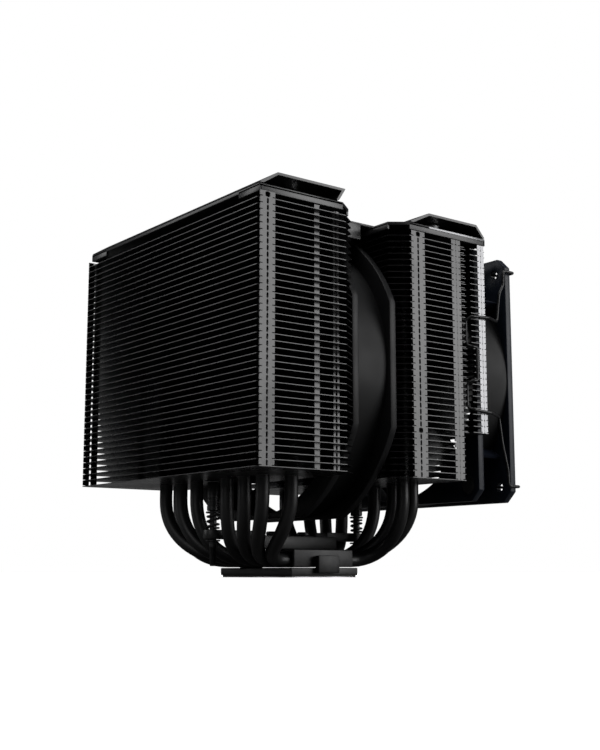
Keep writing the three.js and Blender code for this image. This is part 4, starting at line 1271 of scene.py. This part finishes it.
# ------------------------------------------------------------------ fans
@dataclass
class Fan:
    """One fan: frame, impeller and motor. Heights are from its mid plane along Y."""

    name: str
    back: float
    centre_z: float
    outline: list[Point2]
    barrel: float
    duct: float
    square: bool
    moulding: Finish = FRAME_MOULDING
    depth: float = 25.0
    flange: float = 3.5
    hub: float = 20.0
    hub_top: float = 10.5
    hub_bottom: float = -9.6
    cup: float = 21.0
    cup_depth: float = 2.5
    struts: int = 4
    strut_start: float = 19.0
    strut_width: float = 5.0
    web_reach: float = 13.5
    web_spread: float = 9.5
    web_sheet: float = 1.2
    blades: int = 7
    tip_gap: float = 1.2
    blade_sheet: float = 1.5
    poles: int = 4

    @property
    def centre(self) -> Point3:
        """Middle of the fan."""
        return (0.0, self.back + self.depth / 2, self.centre_z)

    def _place(self, shape: Shape) -> None:
        """Turns a shape drawn with its axis up into the fan's place.

        Args:
            shape: The shape, its axis along Z.
        """
        turn = Matrix.Translation(self.centre) @ Matrix.Rotation(-math.pi / 2, 4, "X")
        bmesh.ops.transform(shape.bm, matrix=turn, verts=shape.bm.verts)

    def frame_piece(self) -> None:
        """The moulded frame, with two flanges, corner webs, struts and the motor's cup, and its barrel."""
        half = self.depth / 2
        shape = Shape()
        for low, high, hole in ((-half, self.flange - half, 4.2), (half - self.flange, half, 2.15)):
            holes = [(0.0, 0.0, self.duct, 96)]
            if self.square:
                corners = [(x, z) for x in (-FAN_HOLE, FAN_HOLE) for z in (-FAN_HOLE, FAN_HOLE)]
                holes += [(x, z, hole, 24) for x, z in corners]
            shape.slab(self.outline, low, high, holes)
        shape.round_sharp(0.35, 2, 25)
        if self.square:
            self._webs(shape)
        rim, floor = self.cup, self.cup_depth - half
        cup = [(0, -half), (rim - 0.6, -half), (rim, 0.6 - half), (rim, floor), (0, floor)]
        shape.lathe(cup, segments=64)
        shape.lathe([(4.3, floor - 0.2), (5.3, floor - 0.2), (5.3, 3.0), (4.3, 3.0)], segments=32)
        start, end = self.strut_start, self.duct + 0.5
        for index in range(self.struts):
            turn = Matrix.Rotation(math.radians(45 + 360 / self.struts * index), 4, "Z")
            at = Matrix.Translation(((start + end) / 2, 0, 1.25 - half))
            shape.cuboid(turn @ at @ Matrix.Diagonal((end - start, self.strut_width, 2.4, 1)), 0.6)
        self._place(shape)
        shape.piece(f"{self.name}_moulded_frame", self.moulding, [f"{self.name}_frame"], 35)
        # The barrel takes the darker copy of the moulding, as painted shade between the flanges.
        tube = Shape()
        inner, outer, end = self.duct, self.barrel, half - 0.4
        tube.lathe([(inner, -end), (outer, -end), (outer, end), (inner, end)], segments=96)
        self._place(tube)
        tube.piece(f"{self.name}_barrel_tube", SHADED_BARREL_MOULDING, [f"{self.name}_frame"], 35)

    def _webs(self, shape: Shape) -> None:
        """Adds the thin webs that brace the flanges at each corner.

        Args:
            shape: The frame's shape, its axis along Z.
        """
        start = self.barrel - 0.6
        length = FAN_HOLE + self.web_reach - start
        tall = self.depth - 2 * self.flange + 0.4
        for corner in (45, 135, 225, 315):
            for spread in (-self.web_spread, self.web_spread):
                turn = Matrix.Rotation(math.radians(corner + spread), 4, "Z")
                at = Matrix.Translation((start + length / 2, 0, 0))
                shape.cuboid(turn @ at @ Matrix.Diagonal((length, self.web_sheet, tall, 1)))

    def impeller_piece(self) -> None:
        """The impeller: a rounded cup of a hub with seven swept, cambered blades."""
        top, bottom, hub = self.hub_top, self.hub_bottom, self.hub
        crown = [(0, top), (hub - 2.6, top), (hub - 1.2, top - 0.35), (hub - 0.3, top - 1.3)]
        wall = [(hub, top - 2.6), (hub, bottom), (hub - 1.8, bottom), (hub - 1.8, top - 2.0)]
        boss = [(3.8, top - 2.0), (3.8, 4.6), (1.85, 4.6), (1.85, top - 2.4), (0, top - 2.4)]
        shape = Shape()
        shape.lathe(crown + wall + boss, segments=72)
        tip, root = self.duct - self.tip_gap, hub - 0.9
        middle = (top + bottom) / 2
        for index in range(self.blades):
            grid = bmesh.ops.create_grid(shape.bm, x_segments=10, y_segments=9, size=0.5)["verts"]
            for vert in grid:
                share, across = vert.co.x + 0.5, vert.co.y
                radius = root + (tip - root) * share
                pitch = math.radians(46 - 18 * share)
                chord = 22 + 16 * share
                camber = 2.2 * (1 - 4 * across**2)
                sweep = math.tau * index / self.blades + 0.1 * share * share
                angle = across * chord * math.cos(pitch) / radius + sweep
                height = across * chord * math.sin(pitch) + camber - 0.7 + middle
                vert.co = (radius * math.cos(angle), radius * math.sin(angle), height)
            faces = list({face for vert in grid for face in vert.link_faces})
            bmesh.ops.solidify(shape.bm, geom=faces, thickness=self.blade_sheet)
        bmesh.ops.recalc_face_normals(shape.bm, faces=shape.bm.faces)
        self._place(shape)
        shape.piece(f"{self.name}_bladed_rotor", BLADE_MOULDING, [f"{self.name}_impeller"], 40)

    def motor_pieces(self) -> None:
        """The shaft, ferrite ring, bearing and wound stator inside the hub."""
        base = self.cup_depth - self.depth / 2
        axle = [(0, base + 0.6), (1.3, base + 0.6), (1.5, base + 0.9), (1.5, 7.6), (1.3, 7.9), (0, 7.9)]
        ring = [(16.2, -7.8), (16.4, -8), (17.5, -8), (17.7, -7.8)]
        ring += [(17.7, 3.8), (17.5, 4), (16.4, 4), (16.2, 3.8)]
        bush = [(1.8, base + 0.3), (3.8, base + 0.3), (4.0, base + 0.6), (4.0, 2.7), (3.8, 3.0), (1.8, 3.0)]
        turned = (
            ("axle", "shaft", axle, SHAFT_STEEL, "bright_shafts"),
            ("ferrite_ring", "magnet_ring", ring, RING_FERRITE, "fan_magnets"),
            ("bush", "bearing", bush, BEARING_BRONZE, "bearings"),
        )
        for label, node, profile, finish, slot_name in turned:
            shape = Shape()
            shape.lathe(profile, segments=48)
            self._place(shape)
            shape.piece(f"{self.name}_{label}", finish, [f"{self.name}_{node}"])
        shape = Shape()
        shape.lathe([(5.65, -8), (8, -8), (8, 4), (5.65, 4)], segments=40)
        for index in range(self.poles):
            turn = Matrix.Rotation(math.tau * index / self.poles, 4, "Z")
            for low, high, wide, tall in ((7.0, 11.4, 4.8, 9.2), (11.4, 13.9, 10.0, 12.0)):
                size = Matrix.Diagonal((high - low, wide, tall, 1))
                shape.cuboid(turn @ (Matrix.Translation(((low + high) / 2, 0, -2)) @ size), 0.5)
        self._place(shape)
        shape.piece(f"{self.name}_wound_poles", COIL_COPPER, [f"{self.name}_stator"], 40)

    def build(self) -> None:
        """Builds the whole fan."""
        self.frame_piece()
        self.impeller_piece()
        self.motor_pieces()


def cut_circle(radius: float, half_width: float, half_height: float, steps: int = 14) -> list[Point2]:
    """A round outline cut straight at its sides, top and bottom.

    Args:
        radius: Radius of the round parts.
        half_width: Where the sides are cut.
        half_height: Where the top and bottom are cut.
        steps: Points in each round part.

    Returns:
        The outline's corners.
    """
    first = math.degrees(math.acos(half_width / radius))
    last = math.degrees(math.asin(half_height / radius))
    quarter = arc((0, 0), radius, first, last, steps)
    left = [(-x, y) for x, y in reversed(quarter)]
    return quarter + left + [(-x, -y) for x, y in quarter] + [(x, -y) for x, y in reversed(quarter)]


def chamfered_square(half: float, chamfer: float) -> list[Point2]:
    """A square outline with cut corners.

    Args:
        half: Half its width.
        chamfer: How far along each side a corner is cut.

    Returns:
        The outline's corners.
    """
    short = half - chamfer
    corner = [(half, short), (short, half)]
    back = corner[::-1]
    return corner + [(-x, y) for x, y in back] + [(-x, -y) for x, y in corner] + [(x, -y) for x, y in back]


@dataclass
class FanFittings:
    """Rubber pads, the middle fan's bracket and the front fan's spring-wire clips."""

    fan_back: float
    fan_z: float
    front_half: float
    groove_y: float = 53.32
    wire: float = 0.8
    drawn_wire: float = 0.68
    stand_off: float = 0.55
    bracket_sheet: float = 1.2

    def pads(self) -> None:
        """The four ribbed pads behind the front fan's corners."""
        profile = [(0, 0.0), (3.3, 0.0), (3.9, 0.45), (3.9, 2.55), (3.3, 3.0)]
        profile += [(2.0, 3.0), (1.7, 2.6), (0, 2.6)]
        for height, z in (("lower", -FAN_HOLE), ("upper", FAN_HOLE)):
            for hand, x in (("left", -FAN_HOLE), ("right", FAN_HOLE)):
                shape = Shape()
                shape.lathe(profile, (x, self.fan_back, self.fan_z + z), 40, along_y=True)
                name, node = f"{height}_{hand}_pad_disc", f"{height}_{hand}_fan_pad"
                shape.piece(name, PAD_RUBBER, [node])

    def bracket(self) -> None:
        """The folded bracket over the middle fan, with its two screws."""
        corner, far = box_mm("center_fan_bracket")
        low, high, hole_y = far.z - self.bracket_sheet, far.z, BRACKET_HOLE_Y
        outline = [(corner.x, corner.y), (far.x, corner.y), (far.x, far.y), (corner.x, far.y)]
        places = (-BRACKET_HOLE_X, BRACKET_HOLE_X)
        shape = Shape()
        shape.slab(outline, low, high, [(x, hole_y, BRACKET_HOLE_RADIUS, 20) for x in places])
        for sign in (-1, 1):
            sides = sorted((sign * (far.x - self.bracket_sheet), sign * far.x))
            shape.block((sides[0], corner.y + 9.5, corner.z), (sides[1], far.y - 9.8, high - 0.3))
        shape.round_sharp(0.3, 2, 60)
        shape.piece("fan_bracket_sheet", SHEET_COATING, ["center_fan_bracket"], 40)
        shank = [(0, 156.5), (1.0, 156.5), (1.2, 156.9), (1.2, high + 0.3)]
        head = [(2.2, high + 0.3), (2.4, high + 0.5), (2.3, high + 1.2), (1.7, high + 1.75)]
        recess = [(0.9, high + 1.8), (0.9, high + 0.9), (0, high + 0.8)]
        for hand, x in zip(("left", "right"), places):
            screw = Shape()
            screw.lathe(shank + head + recess, (x, hole_y, 0), 32)
            screw.piece(f"{hand}_bracket_bolt", SCREW_PLATING, [f"{hand}_bracket_screw"])

    def clips(self) -> None:
        """The two bent wires that hold the front fan to its tower."""
        clear = self.wire + self.stand_off
        hole, side_x, fin_x = FAN_HOLE, 60 + clear, self.front_half + clear
        front = self.fan_back + 25 + clear
        stub, inner_x, groove = front - 7.0, self.front_half - 2.7 + clear, self.groove_y
        mid, shoulder = self.fan_back + 12.5, 66.5
        grip = groove + 4.3
        route = [
            (hole, stub, hole), (hole, front, hole), (side_x, front, hole),
            (side_x, mid + 6.3, hole), (side_x, mid + 6, hole - 7), (side_x, mid + 3, hole - 12),
            (side_x, mid + 0.8, 26.3), (fin_x, shoulder, 25.3), (fin_x, groove + 1.5, 24.6),
            (inner_x, groove, 23.3), (inner_x, groove, 11.4), (fin_x, groove + 1.2, 10.2),
            (fin_x, grip, 10.2), (fin_x, grip, -5.6), (fin_x, groove + 1.2, -5.6),
            (inner_x, groove, -6.8), (inner_x, groove, -17.9), (fin_x, groove + 1.5, -19.2),
            (fin_x, shoulder, -19.9), (side_x, mid + 0.6, -19.9), (side_x, mid + 2.6, -hole + 19.8),
            (side_x, mid + 5.9, -hole + 7.4), (side_x, mid + 6.3, -hole),
            (side_x, front, -hole), (hole, front, -hole), (hole, stub, -hole),
        ]
        for hand, sign in (("left", -1), ("right", 1)):
            points = rounded_route([(x * sign, y, z + self.fan_z) for x, y, z in route], 1.6)
            shape = Shape()
            shape.absorb(bent_wire(points, self.drawn_wire, 16))
            shape.piece(f"{hand}_clip_wire", CLIP_STEEL, [f"{hand}_fan_clip"], 60)

    def build(self) -> None:
        """Builds the fittings."""
        self.pads()
        self.bracket()
        self.clips()


# ------------------------------------------------------------------ studio
@dataclass
class Studio:
    """Pale floor, soft lights and the camera. Lengths are in metres."""

    eye: Point3 = (0.45373, -0.34053, 0.00232)
    yaw: float = 52.54
    pitch: float = 9.34
    lens: float = 57.55
    target: Point3 = (0.0, 0.01, 0.085)
    floor_half: float = 3.0
    floor_gap: float = 0.0002
    floor_seen: float = 0.86
    floor_cast: float = 0.12
    lights: list[tuple[str, Point3, float, float, float]] = field(default_factory=lambda: [
        ("front_softbox", (1.17, 0.90, 0.34), 1.0, 1.3, 25.0),
        ("rear_softbox", (-0.98, -1.05, 0.62), 0.6, 0.9, 6.0),
        ("top_softbox", (0.15, -0.15, 1.3), 1.1, 1.1, 16.0),
        ("camera_fill", (0.5, -1.15, 0.55), 0.8, 0.8, 3.0),
    ])

    def camera(self) -> None:
        """Puts the camera at its place, without depth of field."""
        data = bpy.data.cameras.new("studio_camera")
        data.lens = self.lens
        data.clip_start = 0.01
        made = bpy.data.objects.new("studio_camera", data)
        made.location = self.eye
        made.rotation_euler = (math.radians(90 + self.pitch), 0.0, math.radians(self.yaw))
        bpy.context.scene.collection.objects.link(made)
        bpy.context.scene.camera = made

    def lamps(self) -> None:
        """Adds the soft rectangular lights, each turned to the object's middle."""
        target = Vector(self.target)
        for name, place, wide, tall, power in self.lights:
            data = bpy.data.lights.new(name, "AREA")
            data.shape = "RECTANGLE"
            data.size, data.size_y, data.energy = wide, tall, power
            made = bpy.data.objects.new(name, data)
            made.location = place
            made.rotation_euler = (target - Vector(place)).to_track_quat("-Z", "Y").to_euler()
            bpy.context.scene.collection.objects.link(made)

    def surroundings(self) -> None:
        """A white backdrop seen by the camera, with a dim even light on the object."""
        world = bpy.data.worlds.new("studio_world")
        world.use_nodes = True
        bpy.context.scene.world = world
        tree = world.node_tree
        tree.nodes.clear()
        out = tree.nodes.new("ShaderNodeOutputWorld")
        seen, cast = tree.nodes.new("ShaderNodeBackground"), tree.nodes.new("ShaderNodeBackground")
        seen.inputs["Color"].default_value = (1, 1, 1, 1)
        cast.inputs["Color"].default_value = (0.9, 0.93, 1.0, 1)
        cast.inputs["Strength"].default_value = 0.05
        mixed, path = tree.nodes.new("ShaderNodeMixShader"), tree.nodes.new("ShaderNodeLightPath")
        tree.links.new(path.outputs["Is Camera Ray"], mixed.inputs[0])
        tree.links.new(cast.outputs[0], mixed.inputs[1])
        tree.links.new(seen.outputs[0], mixed.inputs[2])
        tree.links.new(mixed.outputs[0], out.inputs["Surface"])
        bpy.context.scene.view_settings.view_transform = "Standard"

    def floor(self) -> None:
        """A plain pale floor under the object."""
        bm = bmesh.new()
        below = Matrix.Translation((0, 0, -self.floor_gap))
        bmesh.ops.create_grid(bm, x_segments=1, y_segments=1, size=self.floor_half, matrix=below)
        mesh = bpy.data.meshes.new("studio_floor")
        bm.to_mesh(mesh)
        bm.free()
        material = bpy.data.materials.new("floor_paint")
        material.use_nodes = True
        tree = material.node_tree
        shader = tree.nodes["Principled BSDF"]
        shader.inputs["Roughness"].default_value = 0.7
        shader.inputs["Emission Color"].default_value = (1, 1, 1, 1)
        path = tree.nodes.new("ShaderNodeLightPath")
        paint = tree.nodes.new("ShaderNodeMix")
        paint.data_type = "RGBA"
        paint.inputs["A"].default_value = (*[self.floor_cast] * 3, 1)
        paint.inputs["B"].default_value = (*[self.floor_seen] * 3, 1)
        tree.links.new(path.outputs["Is Camera Ray"], paint.inputs["Factor"])
        tree.links.new(paint.outputs["Result"], shader.inputs["Base Color"])
        places = tree.nodes.new("ShaderNodeTexCoord")
        reach = tree.nodes.new("ShaderNodeVectorMath")
        reach.operation = "LENGTH"
        tree.links.new(places.outputs["Object"], reach.inputs[0])
        away = _ramp(tree, reach.outputs["Value"], 0.12, 0.55)
        glow = _math(tree, "ADD", _math(tree, "MULTIPLY", away, 0.25), 0.8)
        seen = _math(tree, "MULTIPLY", path.outputs["Is Camera Ray"], glow)
        tree.links.new(seen, shader.inputs["Emission Strength"])
        mesh.materials.append(material)
        made = bpy.data.objects.new("studio_floor", mesh)
        bpy.context.scene.collection.objects.link(made)

    def build(self) -> None:
        """Builds the camera, lights, backdrop and floor."""
        self.camera()
        self.lamps()
        self.surroundings()
        self.floor()


def main() -> None:
    """Builds the cooler's pieces in order."""
    logging.basicConfig(level=logging.INFO, format="%(name)s %(message)s")
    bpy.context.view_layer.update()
    Studio().build()
    Base().build()
    for end, side in (("rear", -1), ("front", 1)):
        SpringScrew(end, side).build()
    HeatPipes().build()
    build_towers()
    Top.over("rear", (9.3, 3.7)).build()
    Top.over("front", (11.8, 5.4)).build()
    low, high = box_mm("center_fan_frame")
    outline = cut_circle(73.0, high.x, (high.z - low.z) / 2)
    Fan("center_fan", low.y, (low.z + high.z) / 2, outline, 65.6, 64.0, False).build()
    low, high = box_mm("front_fan_frame")
    outline, middle = chamfered_square(high.x, 5.0), (low.z + high.z) / 2
    Fan("front_fan", low.y, middle, outline, 59.4, 57.9, True, NAVY_MOULDING).build()
    FanFittings(low.y, middle, box_mm("front_upper_fin_stack")[1].x).build()


if __name__ == "__main__":
    main()
